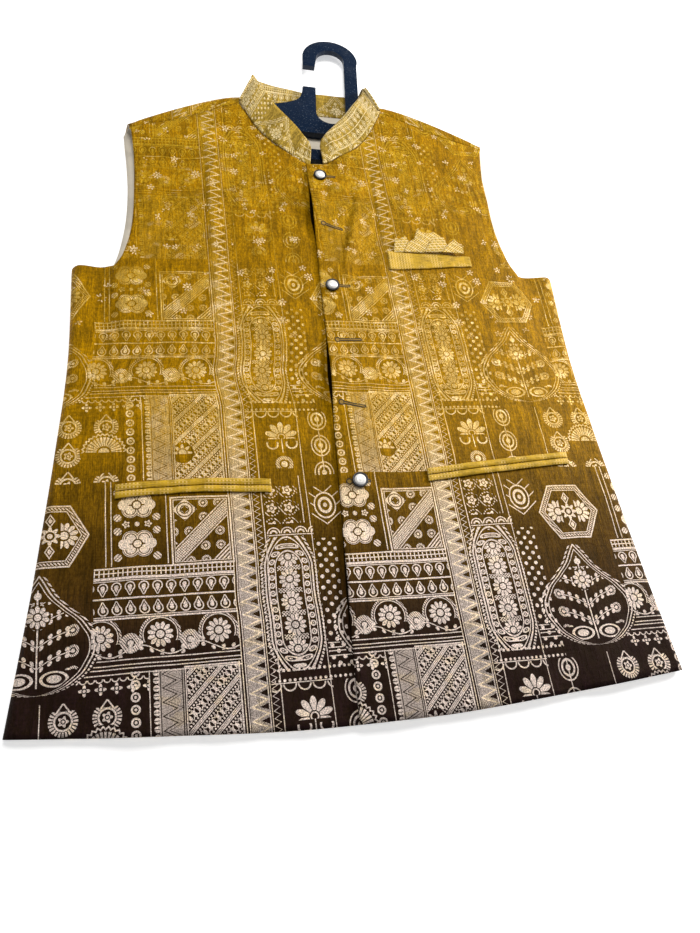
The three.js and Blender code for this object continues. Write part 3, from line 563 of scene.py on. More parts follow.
def back_grid(lower_rows=60, upper_rows=40, wrap_rows=16):
    """The back lies flat, curls up at the side folds and turns over the shoulders to the seams."""
    side_columns = 10
    stations = finer(BACK_STATIONS, 2)
    half = len(stations) - 1
    reach = stations[-1]
    signed = np.concatenate([-stations[:0:-1], stations])
    sign = np.where(np.arange(2 * half + 1) < half, -1.0, 1.0)
    size = np.abs(signed)

    climb = np.linspace(0, 1, lower_rows + 1)[:, None]
    guess = climb * UNDERARM_UP
    edge = SIDE.at("half_width", guess)
    fixed = mix(edge - BACK_SIDE_RUN, ARMHOLE.columns["back"][0], climb**3)
    beyond, turn, _, side_across = turned_side(side_columns, BACK_FLAT_SHARE, fixed, edge, BACK_ROUND)
    side_z = (SIDE_SEAM_HEIGHT - GAP) * (1 - np.cos(turn)) * np.ones_like(guess)
    middle = fixed * signed[None, :] / reach
    low_x = np.concatenate([-side_across[:, ::-1], middle, side_across], axis=1)
    low_z = np.concatenate([side_z[:, ::-1], np.zeros_like(middle), side_z], axis=1)
    all_beyond = np.concatenate([beyond[:, ::-1], np.zeros((1, 2 * half + 1)), beyond], axis=1)
    low_up = mix(HEM.at("up", np.abs(low_x)), underarm_line(all_beyond), climb)

    climb = (np.arange(1, upper_rows + 1) / upper_rows)[:, None]
    foot = wrap_point(sign, size, 0.0)
    edge_up = mix(UNDERARM_UP, float(wrap_point(1.0, np.array(reach), 0.0)[1]), climb)
    high_x = ARMHOLE.at("back", edge_up) * signed[None, :] / reach
    high_x[-1] = signed
    high_up = mix(UNDERARM_UP, foot[None, :, 1], climb)
    high = np.stack([high_x, high_up, np.zeros_like(high_x)], axis=-1)
    over = np.stack([wrap_point(sign, size, row / wrap_rows) for row in range(1, wrap_rows + 1)])

    low = np.stack([low_x, low_up, low_z], axis=-1)
    grid, has, sides = joined_rows(low, np.concatenate([high, over]), side_columns)
    top_row = lower_rows + upper_rows + 1
    neck = int(np.searchsorted(stations, BACK_NECK_TURN))
    centre = side_columns + half
    has[top_row - 1 :, centre - neck : centre + neck] = False
    for column, way in ((0, -1), (-1, 1)):
        sides[: lower_rows + 1, column] = (way, 0, 0)
    return grid, has, sides, top_row


def lining_grid(rows=20, columns=40):
    share = np.linspace(-1, 1, columns + 1)[None, :]
    climb = np.linspace(0, 1, rows + 1)[:, None]
    edge_up = np.maximum(mix(LINING_START, LINING_TOP, climb), UNDERARM_UP + LINING_RISE)
    x = share * (ARMHOLE.at("back", edge_up) - LINING_INSET)
    foot = wrap_point(1.0, np.abs(x), 0.0)[..., 1]
    up = mix(LINING_START, foot - LINING_NECK_INSET, climb)
    level = BACK_WALL + GAP + LINING_WALL
    ripple = 0.25 * np.sin(x * 0.09 + 1.4 * np.sin(up * 0.05)) * np.sin(up * 0.11)
    return np.stack([x, up, level + ripple], axis=-1)


def neck_edge(on, side, across):
    """The neck edge of the fronts or the back at one place, and the way the cloth faces there."""
    across = float(across)
    if on == "front":
        x = side * across
        up = float(front_top(np.array(across)))
        z = float(front_height(np.array(x), np.array(up)))
        z += float(overlap_lift(np.array(x), np.array(up))) if side > 0 else 0
        return np.array([x, up, z]), np.array([0, 0, 1.0])
    share = 1.0 if across >= BACK_NECK_TURN else 0.0
    angle = np.pi * (float(wrap_turn(across)) - 0.5) if across > BACK_NECK_TURN else -np.pi / 2
    point = wrap_point(float(side), np.array(across), np.array(share))
    return np.asarray(point).reshape(3), np.array([0, math.cos(angle), math.sin(angle)])


def smooth_run(points, pieces):
    """Points along a smooth curve through those given."""
    points = np.asarray(points, float)
    ends = np.vstack([2 * points[0] - points[1], points, 2 * points[-1] - points[-2]])
    run = []
    for index in range(len(points) - 1):
        a, b, c, d = ends[index : index + 4]
        for part in range(pieces):
            t = part / pieces
            bend = (2 * a - 5 * b + 4 * c - d) * t**2 + (3 * b - a - 3 * c + d) * t**3
            run.append(0.5 * (2 * b + (c - a) * t + bend))
    return np.array([*run, points[-1]])


def collar_grid(pieces=6, rows=14):
    """The stand collar, from the wearer's left end round the back to the right end."""
    places = [(on, side, *place) for on, side, run in COLLAR_EDGE for place in run]
    edges = [neck_edge(on, side, across) for on, side, across, *_ in places]
    seams = []
    tops = []
    for index, (point, facing) in enumerate(edges):
        before = edges[max(0, index - 1)][0]
        after = edges[min(len(edges) - 1, index + 1)][0]
        away = unit(np.cross(facing, after - before))
        crossing = point[2] > CROSSOVER_HEIGHT
        seam = point + away * (CROSSOVER_CLEAR if crossing else COLLAR_CLEAR)
        if crossing:
            seam = seam + facing * CROSSOVER_RISE
        seams.append(seam)
        tops.append(seam + np.array(places[index][3:]))
    low = smooth_run(seams, pieces)
    high = smooth_run(tops, pieces)
    grid = np.stack([mix(low, high, row / rows) for row in range(rows + 1)])
    run = np.concatenate([[0], np.cumsum(np.linalg.norm(np.diff(low, axis=0), axis=1))])
    swell = np.sin(np.pi * np.linspace(0, 1, rows + 1))[:, None]
    wave = 0.5 * np.sin(run * 0.11) + 0.35 * np.sin(run * 0.27 + 1)
    standing = np.where(grid[..., 2] > COLLAR_FREE_HEIGHT, 1, COLLAR_PRESSED)
    grid[..., 2] = grid[..., 2] + swell * (0.8 + wave) * standing
    return grid, run


def on_front_grid(place, rows, columns, wall, lift=None):
    """Outer points of a trim piece that lies on the fronts, at the places that it covers."""
    share = np.linspace(0, 1, columns + 1)[None, :]
    rise = np.linspace(0, 1, rows + 1)[:, None]
    x, up = place(share, rise)
    z = on_front(x, up) + GAP + wall + (0 if lift is None else lift(share, rise))
    return np.stack([x, up, z], axis=-1)


def welt_place(share, rise):
    low = mix(CHEST_WELT["left_low"], CHEST_WELT["right_low"], share)
    high = mix(CHEST_WELT["left_high"], CHEST_WELT["right_high"], share)
    return mix(CHEST_WELT["left"], CHEST_WELT["right"], share) + 0 * rise, mix(low, high, rise)


def crowned(share, rise):
    """A turned strip stands round across its width, and its ends are tacked down."""
    return JET_CROWN * np.sin(np.pi * rise) * smooth(np.minimum(share, 1 - share) / JET_TACK)


def jet_place(jet, shift):
    def place(share, rise):
        arch = jet["arch"] * np.sin(np.pi * share)
        up = mix(jet["left_up"], jet["right_up"], share) + arch + shift + (rise - 0.5) * JET_WIDTH
        return mix(jet["left"], jet["right"], share) + 0 * rise, up

    return place


def jacket_piece(piece, slot, *nodes):
    """Every piece rides on the one body and stands for its solids."""
    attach(piece, "root")
    if nodes:
        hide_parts(*nodes)


def pattern_of(grid, start=0.0, flip=1.0):
    """Place of each grid point on the flat cloth: along the run of its row from the middle line."""
    steps = np.linalg.norm(np.diff(grid[..., [0, 2]], axis=1), axis=-1)
    level = np.abs(np.diff(grid[..., 0], axis=1))
    steeper = np.where(steps > STEEP_STEP * level, steps - level, 0)
    extra = np.concatenate([np.zeros((len(grid), 1)), np.cumsum(steeper, axis=1)], axis=1)
    middle = np.argmin(np.abs(grid[..., 0]), axis=1)
    extra = extra - np.take_along_axis(extra, middle[:, None], axis=1)
    return np.stack([flip * (grid[..., 0] + extra - start), grid[..., 1]], axis=-1)


# Stitched buttonholes: eye x and up, end x and up
BUTTONHOLES = [
    (-0.6, 519, 20, 512), (0.5, 366, 25, 366), (-3, 292.5, 20, 287.5),
    (-3, 592.5, 19, 590.5), (-3, 435, 21, 435.8), (-4, 209, 16, 209),
]
BUTTONS = [(2, 592.5), (1.5, 434.5), (6, 209.5)]
BUTTON_RADIUS = 7.4
BUTTON_RIM_HEIGHT = 2.6
BUTTON_RIM_WIDTH = 1.5
BUTTON_RIM_INSETS = [(BUTTON_RIM_WIDTH, 0), (0.2, -0.6), (0.2, -0.6)]
BUTTON_SEAT = 1.7
BUTTON_FACE_CLEAR = 0.3
BUTTON_DOME = 2.2
# Place and width of each ring on the face, as shares of its radius, and its rise
BUTTON_RINGS = [(0.62, 0.09, 0.16), (0.44, 0.08, -0.2)]
EYE_RADIUS = 2.1
SLIT_HALF = 0.75
STITCH_REACH = 0.95
STITCH_PITCH = 0.95
STITCH_WIDTH = 0.96 * STITCH_PITCH
# Outward share and rise of each point along a stitch
STITCH_PROFILE = [(-0.15, 0.1), (0.05, 0.5), (0.75, 0.6), (1.0, 0.05)]
SLIT_RISE = 0.12
# Widths of the soft edges in metres, and what joins the hanger's flat faces before they are cut
RIM_EDGE = 0.0005
HANGER_EDGE = 0.0022
WELD = 0.00002
FLAT_ANGLE = 1.5


def arc(centre, radius, angles):
    """Points round a centre on the buttonhole's line, with the ways out of it."""
    ways = [(math.cos(angle), math.sin(angle)) for angle in angles]
    return [(centre + radius * across, radius * up, across, up) for across, up in ways]


def keyhole(eye_x, eye_up, end_x, end_up):
    """Points and outward ways round a keyhole slit, at even steps."""
    length = math.hypot(end_x - eye_x, end_up - eye_up)
    along = np.array([end_x - eye_x, end_up - eye_up]) / length
    beside = np.array([-along[1], along[0]])
    opening = math.asin(SLIT_HALF / EYE_RADIUS)
    slit_end = length - SLIT_HALF
    steps = max(4, int(length / STITCH_PITCH))
    slit = np.linspace(EYE_RADIUS + STITCH_PITCH, slit_end, steps)
    local = arc(0, EYE_RADIUS, np.linspace(opening, 2 * math.pi - opening, 15))
    local += [(x, -SLIT_HALF, 0, -1) for x in slit]
    local += arc(slit_end, SLIT_HALF, (-math.pi / 4, 0, math.pi / 4))
    local += [(x, SLIT_HALF, 0, 1) for x in slit[::-1]]
    centre = np.array([eye_x, eye_up])
    points = [centre + x * along + y * beside for x, y, _, _ in local]
    ways = [wx * along + wy * beside for _, _, wx, wy in local]
    return points, ways


def stitched_hole(name, place, thread, inside):
    """A worked buttonhole: close stitches round a dark slit, lying on the left front."""
    points, ways = keyhole(*place)
    mesh = bmesh.new()

    def corner(spot, rise):
        x, up = spot
        return mesh.verts.new(scene_point((x, up, float(on_front(np.array(x), np.array(up))) + rise)))

    slit = [corner(point, SLIT_RISE) for point in points]
    centre = corner(place[:2], SLIT_RISE)
    for first, second in zip(slit, slit[1:] + slit[:1]):
        mesh.faces.new([centre, first, second]).material_index = 1
    for index, (point, way) in enumerate(zip(points, ways)):
        side = np.array([-way[1], way[0]])
        reach = STITCH_REACH * (1 + 0.08 * math.sin(index * 2.7))
        rings = []
        for out, rise in STITCH_PROFILE:
            ring = []
            for across, drop in ((-0.5, 0.35), (0, 0), (0.5, 0.35)):
                spot = point + way * reach * out + side * across * STITCH_WIDTH
                ring.append(corner(spot, max(0.02, rise - drop * rise)))
            rings.append(ring)
        for near, far in zip(rings, rings[1:]):
            for column in range(2):
                shape = mesh.faces.new([near[column], far[column], far[column + 1], near[column + 1]])
                shape.smooth = True
    mesh.normal_update()
    for shape in mesh.faces:
        if shape.normal.z < 0:
            shape.normal_flip()
    return new_mesh(name, mesh, [thread, inside])


def start_edit(piece, mode="FACE"):
    bpy.ops.object.select_all(action="DESELECT")
    piece.select_set(True)
    bpy.context.view_layer.objects.active = piece
    bpy.ops.object.mode_set(mode="EDIT")
    bpy.ops.mesh.select_mode(type=mode)
    bpy.ops.mesh.select_all(action="DESELECT")
    return bmesh.from_edit_mesh(piece.data)


def end_edit(piece, material):
    bpy.ops.object.mode_set(mode="OBJECT")
    bpy.ops.object.transform_apply(location=True, rotation=True, scale=True)
    piece.data.materials.clear()
    piece.data.materials.append(material)


def soften(piece, width, segments, angle=40):
    bevel = piece.modifiers.new("soft_edges", "BEVEL")
    bevel.width = width
    bevel.segments = segments
    bevel.limit_method = "ANGLE"
    bevel.angle_limit = math.radians(angle)
    bpy.ops.object.modifier_apply(modifier=bevel.name)
    bpy.ops.object.shade_smooth_by_angle(angle=math.radians(50))


def button_bed(across, up):
    bed = float(on_front(np.array(across), np.array(up))) + GAP
    return scene_point((across, up, bed))


def button_rim(name, place, material):
    """A turned rim: a disc whose top is inset and sunk, with a fine raised bead inside."""
    height = BUTTON_RIM_HEIGHT / 1000
    centre = button_bed(*place) + Vector((0, 0, height / 2))
    bpy.ops.object.select_all(action="DESELECT")
    bpy.ops.mesh.primitive_cylinder_add(
        vertices=56, radius=BUTTON_RADIUS / 1000, depth=height, location=centre
    )
    rim = bpy.context.object
    rim.name = name
    shape = start_edit(rim)
    for face in shape.faces:
        face.select = face.normal.z > 0.9
    bmesh.update_edit_mesh(rim.data)
    for inset, depth in BUTTON_RIM_INSETS:
        bpy.ops.mesh.inset(thickness=inset / 1000, depth=depth / 1000)
    end_edit(rim, material)
    soften(rim, RIM_EDGE, 3)
    return rim


def button_face(name, place, material):
    """A domed face with a low ring round its middle."""
    radius = BUTTON_RADIUS - BUTTON_RIM_WIDTH - BUTTON_FACE_CLEAR
    seat = button_bed(*place) + Vector((0, 0, BUTTON_SEAT / 1000))
    bpy.ops.object.select_all(action="DESELECT")
    bpy.ops.mesh.primitive_uv_sphere_add(segments=48, ring_count=24, radius=radius / 1000, location=seat)
    face = bpy.context.object
    face.name = name
    face.scale = (1, 1, BUTTON_DOME / radius)
    shape = start_edit(face)
    for part in shape.faces:
        part.select = True
    bmesh.update_edit_mesh(face.data)
    bpy.ops.mesh.bisect(plane_co=seat, plane_no=(0, 0, 1), use_fill=True, clear_inner=True)
    end_edit(face, material)
    for vertex in face.data.vertices:
        out = math.hypot(vertex.co.x - seat.x, vertex.co.y - seat.y) * 1000 / radius
        ring = sum(rise * math.exp(-(((out - middle) / width) ** 2)) for middle, width, rise in BUTTON_RINGS)
        vertex.co.z += ring / 1000 if vertex.co.z > seat.z + 1e-6 else 0
    bpy.ops.object.shade_smooth_by_angle(angle=math.radians(60))
    return face


def hanger_piece(material):
    """The moulded hanger: its solid's form with soft edges, so that the gloss runs along them."""
    bpy.ops.object.select_all(action="DESELECT")
    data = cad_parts["hanger"].data.copy()
    data.name = "moulded_hanger"
    piece = bpy.data.objects.new("moulded_hanger", data)
    bpy.context.collection.objects.link(piece)
    start_edit(piece, "VERT")
    bpy.ops.mesh.select_all(action="SELECT")
    bpy.ops.mesh.remove_doubles(threshold=WELD)
    bpy.ops.mesh.dissolve_limited(angle_limit=math.radians(FLAT_ANGLE))
    end_edit(piece, material)
    soften(piece, HANGER_EDGE, 4, 50)
    return piece


# The camera stands where the photograph was taken, low over the wearer's right side of the hem
CAMERA_PLACE = (-0.1174, -0.4374, 0.5581)
CAMERA_TURNS = ((-12.0, "Y"), (23.36, "X"), (-6.62, "Z"))
CAMERA_LENS = 24.97
SENSOR_WIDTH = 36
NEAREST = 0.01
FLOOR_SIZE = 6
FLOOR_DROP = 0.0005
ROOM_LIGHT = 0.3
ROOM_COLOUR = (0.93, 0.95, 1.0)
# Name, place, aim, size, power and tint of each light
LIGHTS = [
    ("wide_soft_light", (0.1, 0.9, 1.9), (0, 0, 0), (0.9, 0.7), 27, (1.0, 0.98, 0.95)),
    ("raking_light", (1.5, 0.5, 0.7), (0, 0, 0), (0.6, 0.4), 33, (1.0, 0.98, 0.96)),
]


def square_layer(index, corners, material):
    """One layer of the folded square, from the welt's upper edge to its peaks, with its flat shape."""
    across, peaks = np.array(corners, float).T

    def run(share):
        return mix(across[0], across[-1], share)

    def place(share, up_share):
        x = run(share) + 0 * up_share
        low = mix(peaks[0], peaks[-1], share) - SQUARE_TUCK
        return x, mix(low, np.maximum(np.interp(x, across, peaks), low + SQUARE_LEAST), up_share)

    def lift(share, up_share):
        height = (np.interp(run(share), across, peaks) - peaks.min()) / np.ptp(peaks)
        return SQUARE_RISE + index * SQUARE_STEP + SQUARE_LEAN * height * up_share * (1 - 0.35 * up_share)

    grid = on_front_grid(place, 10, 48, SQUARE_WALL, lift)
    slant = (index % 2) * 0.9 * grid[..., 0]
    turned = np.stack([grid[..., 0] + 37 * index, grid[..., 1] + slant], axis=-1)
    return cloth_shell(f"square_fold_{index + 1}", grid, SQUARE_WALL, turned, [material]), grid[..., :2]


# Finishes


def plug(tree, node, values):
    """Feeds a node's inputs from fields or sockets, or sets them to numbers or colours."""
    for name, value in values.items():
        if isinstance(value, Field):
            value = value.socket
        if isinstance(value, bpy.types.NodeSocket):
            tree.links.new(value, node.inputs[name])
        elif hasattr(value, "__len__"):
            node.inputs[name].default_value = (*value, 1)
        else:
            node.inputs[name].default_value = value


def add_node(tree, kind, inputs, **settings):
    """Adds a node at the next place of a raster, sets it and feeds its inputs."""
    node = tree.nodes.new(f"ShaderNode{kind}")
    count = len(tree.nodes)
    node.location = (170 * (count % 24), -190 * (count // 24))
    for name, value in settings.items():
        setattr(node, name, value)
    plug(tree, node, inputs)
    return node


def math_step(operation):
    """A method that adds one maths node with that operation."""

    def method(self, *values):
        return self.step(operation, self, *values)

    return method


class Field:
    """A value that changes over the cloth, reckoned with as a number; each step adds one node."""

    def __init__(self, tree, socket):
        self.tree = tree
        self.socket = socket

    def step(self, operation, *values):
        node = add_node(self.tree, "Math", dict(enumerate(values)), operation=operation)
        return Field(self.tree, node.outputs[0])

    __add__ = math_step("ADD")
    __sub__ = math_step("SUBTRACT")
    __mul__ = math_step("MULTIPLY")
    __and__ = math_step("MULTIPLY")
    __or__ = math_step("MAXIMUM")
    at_least = math_step("MAXIMUM")
    times_plus = math_step("MULTIPLY_ADD")
    near = math_step("COMPARE")
    below = math_step("LESS_THAN")
    above = math_step("GREATER_THAN")
    to_and_fro = math_step("PINGPONG")
    bearing = math_step("ARCTAN2")
    sine = math_step("SINE")
    cosine = math_step("COSINE")

    def from_(self, target):
        return self.step("ABSOLUTE", self if target == 0 else self - target)

    def within(self, low, high):
        return self.near((low + high) / 2, (high - low) / 2)

    def repeat(self, low, high):
        return self.step("WRAP", self, high, low)

    def each(self, half):
        """The place from the middle of the nearest of a run of stretches, each twice half long."""
        return self.repeat(-half, half)

    def ticks(self, half, width):
        """1 within width of the middle of each stretch."""
        return self.each(half).near(0, width)

    def hypot(self, other):
        joined = add_node(self.tree, "CombineXYZ", {0: self, 1: other})
        length = add_node(self.tree, "VectorMath", {0: joined.outputs[0]}, operation="LENGTH")
        return Field(self.tree, length.outputs["Value"])

    def curve(self, points):
        """A value read from a curve through given points over 0 to 1."""
        node = add_node(self.tree, "FloatCurve", {"Value": self})
        line = node.mapping.curves[0]
        for point, (x, y) in zip(line.points, (points[0], points[-1])):
            point.location = (x, y)
        for x, y in points[1:-1]:
            line.points.new(x, y)
        node.mapping.update()
        return Field(self.tree, node.outputs[0])


def in_box(x, y, left, right, low, high):
    return x.within(left, right) & y.within(low, high)


def petals_round(across, up, radius, petals, depth=0.2, eye=0.36):
    """A flower with an open ring round its eye."""
    distance = across.hypot(up)
    reach = (up.bearing(across) * petals).cosine()
    shape = distance.below(reach.times_plus(depth * radius, (1 - depth) * radius))
    return shape - (distance.near(eye * radius, 0.1 * radius) & shape)


def outlined_flower(across, up, radius, petals):
    """A flower with parted petals: a filled eye, a ring, and petals split by thin rays."""
    distance = across.hypot(up)
    turn = up.bearing(across) * (petals / 2)
    wave = turn.sine().from_(0)
    petal = distance.below(wave.times_plus(0.3 * radius, 0.7 * radius)) & distance.above(0.42 * radius)
    return (petal & wave.above(0.3)) | distance.below(0.3 * radius)


# Half-width of the great drop over its height, from its round foot to its ogee tip
DROP_PROFILE = [
    (0, 0), (0.03, 0.36), (0.1, 0.64), (0.22, 0.88), (0.38, 1.0),
    (0.54, 0.86), (0.7, 0.52), (0.82, 0.26), (0.92, 0.12), (1, 0.0),
]
TILE_ACROSS = 281
TILE_UP = 248
TILE_LEFT = -28
TILE_LOW = -30
# Halves of the widths of woven lines
FINE = 0.42
BOLD = 0.68

# Motifs below are placed in millimetres of one repeat of the cloth, across x and up y


def drop_with_plant(x, y):
    m = x.from_(26)
    width = ((y - 44.5) * (1 / 93)).curve(DROP_PROFILE)
    rim = width.times_plus(-42.5, m)
    outline = rim.near(0, BOLD) | rim.near(-3.4, FINE)
    beads = rim.near(3.4, 0.85) & (m * 0.5 + y).ticks(1.6, 0.95)
    curl = (m * m).times_plus(0.011, m.times_plus(-0.75, y))
    level = curl.each(8)
    branch = level.near(0, 0.38) & m.below(27)
    leaf = (m.repeat(0, 6.4) - 3.2).hypot(level.from_(0) - 2.4).below(1.7) & m.within(2, 24)
    tip = (m - 26.5).hypot(level)
    floret = (tip.near(3.6, 1.0) & (m * 1.7 + y).ticks(1.3, 0.85)) | tip.below(1.6)
    plant = (branch | leaf | floret) & y.within(62, 116)
    stem = m.below(0.6) & y.within(50, 126)
    crown = (x - 26).hypot(y - 104)
    plant = (plant | stem) & crown.above(10)
    blossom = outlined_flower(x - 26, y - 104, 9.2, 10)
    upper = m.hypot(y - 121).below(3)
    base = (m - 13).hypot((y - 56) * 1.8)
    leaves = (base.near(9.6, 1.2) | base.below(5.4)) & (y - 56).times_plus(1.0, m * 0.2).above(-7)
    inside = rim.below(-6)
    return (outline | beads | ((plant | blossom | upper | leaves) & inside)) & y.within(44.5, 138), rim


def hexagon_medallion(x, y):
    hx = x.from_(33)
    hy = y.from_(171)
    edge = (hx * 0.866 + hy * 0.5) | hy
    beads = (x + y).ticks(1.4, 0.72) & edge.near(24.1, 1.1)
    shape = edge.near(26.6, BOLD) | edge.near(21.8, FINE) | beads
    lobe = outlined_flower(hx - 11, y - 171, 11.6, 12) & hx.above(8.5)
    spire = hx * 1.5 + (hy - 13.5).from_(0)
    flame = spire.near(5.4, 0.9) | spire.below(2.8)
    return shape | petals_round(x - 33, y - 171, 8.6, 8) | (lobe - flame).at_least(0) | (flame & hx.below(9))


def peony_column(x, y):
    m = x.from_(103)
    part = y.from_(178) - 17.5
    petal = (m - 5.4).hypot(part.from_(0) - 4.6)
    shell = petal.below(7) - (petal.near(4.4, 0.42) | petal.near(6.2, 0.3))
    side = (m - 11).hypot(part).below(4.6)
    heart = m.hypot(part)
    bloom = ((shell.at_least(0) | side) & heart.above(4.4)) | heart.below(3.2)
    corner = (m - 16).hypot(part.from_(0) - 11.5)
    leaf = (corner.below(3.3) & (m + y).ticks(1.5, 1.05))
    mid = y.from_(178)
    middle = petals_round(m - 9, mid, 3.4, 5) | m.hypot(mid).below(2)
    lines = x.from_(79.5).near(2.3, FINE) | x.near(127.5, FINE)
    return (bloom | leaf | middle | lines) & y.above(142) & x.within(76, 129)


def ladder_box(x, y):
    frame_edge = (x.from_(156.5) + 5) | y.from_(170.5)
    border = frame_edge.near(30.2, BOLD) | frame_edge.near(28, 0.35)
    lean = x - y
    off = lean.from_(-12)
    lattice = (x + y).ticks(1.2, 0.5) | lean.ticks(1.2, 0.45)
    band = off.near(8, BOLD) | (lattice & off.below(6.4))
    small = (x - 3).each(6.5).hypot(y.each(6.5))
    florets = (small.near(3.2, 0.95) & (x * 1.6 + y).ticks(1.2, 0.8)) | small.below(1.2)
    stripes = lean.repeat(0, 3.6).below(1.9) & lean.above(22)
    square = (x.from_(143) + y.from_(189)).within(3.5, 10.5) & (x - 143).hypot(y - 189).repeat(0, 3).above(1)
    filled = (florets & off.above(10.5) & lean.below(20)) - (x - 143).hypot(y - 189).below(12)
    inside = band | stripes | filled.at_least(0) | (square & off.above(10))
    return border | (inside & frame_edge.below(27.4))


def drop_rows(x, y):
    up = y.from_(114.5)
    across = x.each(5.4)
    belly = across.hypot(up - 9.4)
    slope = (up - 2) * -0.5 + across.from_(0)
    drops = (belly.near(3.7, 0.5) & up.above(6.6)) | (slope.near(0.1, 0.45) & up.within(2.2, 7))
    seeds = belly.below(1.7) | (slope.below(-1.3) & up.within(4.5, 8))
    rules = up.near(16.4, BOLD) | up.near(14.6, 0.35) | up.near(0, BOLD)
    key = (x.ticks(1.9, 0.5) | (y - 136).near(0, 0.45)) & y.within(133, 139)
    lines = y.near(132, FINE) | y.near(140, BOLD)
    return (((drops | seeds | rules) & up.below(17.4)) | key | lines) & x.within(68, 181)


def vine_band(x, y):
    across = (x - 119).each(23)
    bloom = outlined_flower(across, y - 83.5, 10.2, 12)
    far = across.hypot(y - 83.5)
    arch = (far.near(13.4, FINE) | (far.near(15.4, 0.8) & (across * 1.2 + y).ticks(1.4, 0.85))) & y.above(78)
    half = (across.from_(0) - 23).hypot(y - 78)
    daisy = (half.near(5.6, 2.3) & (half.times_plus(0.2, across * 1.5 + y)).ticks(1.5, 1.0)) | half.below(2.4)
    stem = (y - (x * 0.1366).sine().times_plus(4, 72)).near(0, 0.5)
    leaf = (x.each(4)).hypot((y - (x * 0.1366).sine().times_plus(4, 72)).from_(0) - 2.3).below(1.6)
    return (bloom | arch | daisy | ((stem | leaf) & far.above(12))) & y.within(67.5, 97) & x.within(66, 181)


def rosette_row(x, y):
    across = (x - 61).each(6)
    floret = petals_round(across, y - 45, 4.4, 4, 0.3)
    teeth = x.each(3).hypot(y - 52.5).near(2.5, 0.45) & y.below(52.5)
    return (floret | teeth) & x.within(55, 109) & y.within(38, 54)


def botehs(x, y):
    """Feathered drops in two columns, with the half sun among them."""
    across = (x - 46).each(16)
    up = (y + 2).each(14)
    far = across.hypot(up + 1.5)
    turn = (up + 1.5).bearing(across)
    feather = far.near(9.2, 1.7) & (turn * 3.8).ticks(0.5, 0.3)
    ring = (far.near(6.4, 0.75) | feather) & up.below(6)
    point = ((up - 11.5) * 0.75 + across.from_(0)).near(0, 0.7) & up.within(3.5, 11.5)
    seed = petals_round(across, up + 1.5, 4.2, 5)
    fan_far = (x - 76).hypot(y + 1)
    rays = ((y + 1).bearing(x - 76) * 4.6).ticks(0.5, 0.33) & fan_far.within(6.4, 15.4)
    scallop = ((y + 1).bearing(x - 76) * 4.6).each(0.5).from_(0).times_plus(-4.0, fan_far).near(17, 0.8)
    fan = (rays | scallop | fan_far.below(4.6)) & y.above(-1)
    lines = x.near(29, 0.35) & y.below(40)
    return ((ring | point | seed | lines) & in_box(x, y, 28, 93, -30, 38) & fan_far.above(20.5)) | fan


def solid_panel(x, y):
    swing = y.to_and_fro(5.25) * 2.0
    slanted = x - swing
    zigzag = slanted.near(119, 0.8) | slanted.near(123.4, 0.45) | x.near(117.6, 0.35) | x.near(134.2, 0.4)
    leaf = (x - 114.5).hypot(y.each(3))
    leaves = leaf.below(2.4) & y.each(3).from_(0).above(0.35)
    panel = (x.within(116, 135.5) - zigzag).at_least(0) * 0.55 | leaves
    floret = (x - 99).hypot(y.each(4.6))
    column = ((floret.near(2.9, 0.75) | floret.below(1.1)) & x.within(95, 103)) | x.near(109.5, 0.35)
    return (panel | column) & y.within(-30, 56)


def stripe_box(x, y):
    lean = x - y
    turn = lean.each(11)
    size = turn.from_(0)
    run = x + y
    solid = size.near(1.9, 0.5) | size.near(0, 0.5) | (size.below(1.6) & run.ticks(0.9, 0.4))
    beads = size.near(4.7, 1.0) & run.ticks(1.8, 0.95)
    saw = (run.to_and_fro(2.2) * -1.1 + size).near(6.6, 0.7)
    florets = (size - 9.9).hypot(run.each(3.4)).below(1.9)
    lotus_far = (x - 144).hypot(y + 4)
    lotus = ((y + 4).bearing(x - 144) * 8).cosine().times_plus(2.2, 6.5)
    bloom = (lotus_far.below(lotus) & y.above(-5)) - lotus_far.near(4, 0.5)
    border = x.near(136.8, 0.4) | x.near(179, BOLD) | y.near(56.6, BOLD)
    inside = in_box(x, y, 137.6, 178, -30, 55.4) & lotus_far.above(10)
    stripes = (solid | beads | saw | florets) & inside
    return (stripes | bloom.at_least(0) | (border & y.below(57.5))) & x.within(136, 180)


def zigzag_columns(x, y):
    swing = y.to_and_fro(5.25)
    main = swing.times_plus(-2.5, x)
    hatch = (y * 2.0 + x).ticks(0.9, 0.45) & main.within(187.3, 193)
    solid = main.below(184.4) & x.above(184.8) & (x - y * 2.0).ticks(0.9, 0.5)
    column = (main.near(185.4, 1.05) | hatch | solid | x.from_(192).near(8.2, FINE)) & x.within(183.2, 200.8)
    thin = (y.to_and_fro(2.8) * -1.7 + x).near(203.4, 0.45) & x.within(202.4, 209)
    return column | thin | x.near(210.5, FINE) | x.near(181.4, 0.4) | x.near(202, 0.3)


def floret_block(x, y):
    across = x.each(7.8)
    cell = across.hypot(y.each(8.5))
    florets = petals_round(across, y.each(8.5), 5, 5)
    sprig = (cell.near(7, 0.6) & (across * 1.3 + y).ticks(2, 0.9)) | florets
    scallop = (x - 2).each(6).hypot(y - 163)
    lotus = (scallop.near(5.3, 0.5) | scallop.near(2.6, 0.8)) & y.within(163, 170)
    return (
        (sprig & in_box(x, y, 212.5, 243, 172, 208))
        | ((y.near(161.5, FINE) | lotus) & x.within(212, 253))
        | (x.near(246, 0.4) & y.above(172))
    )


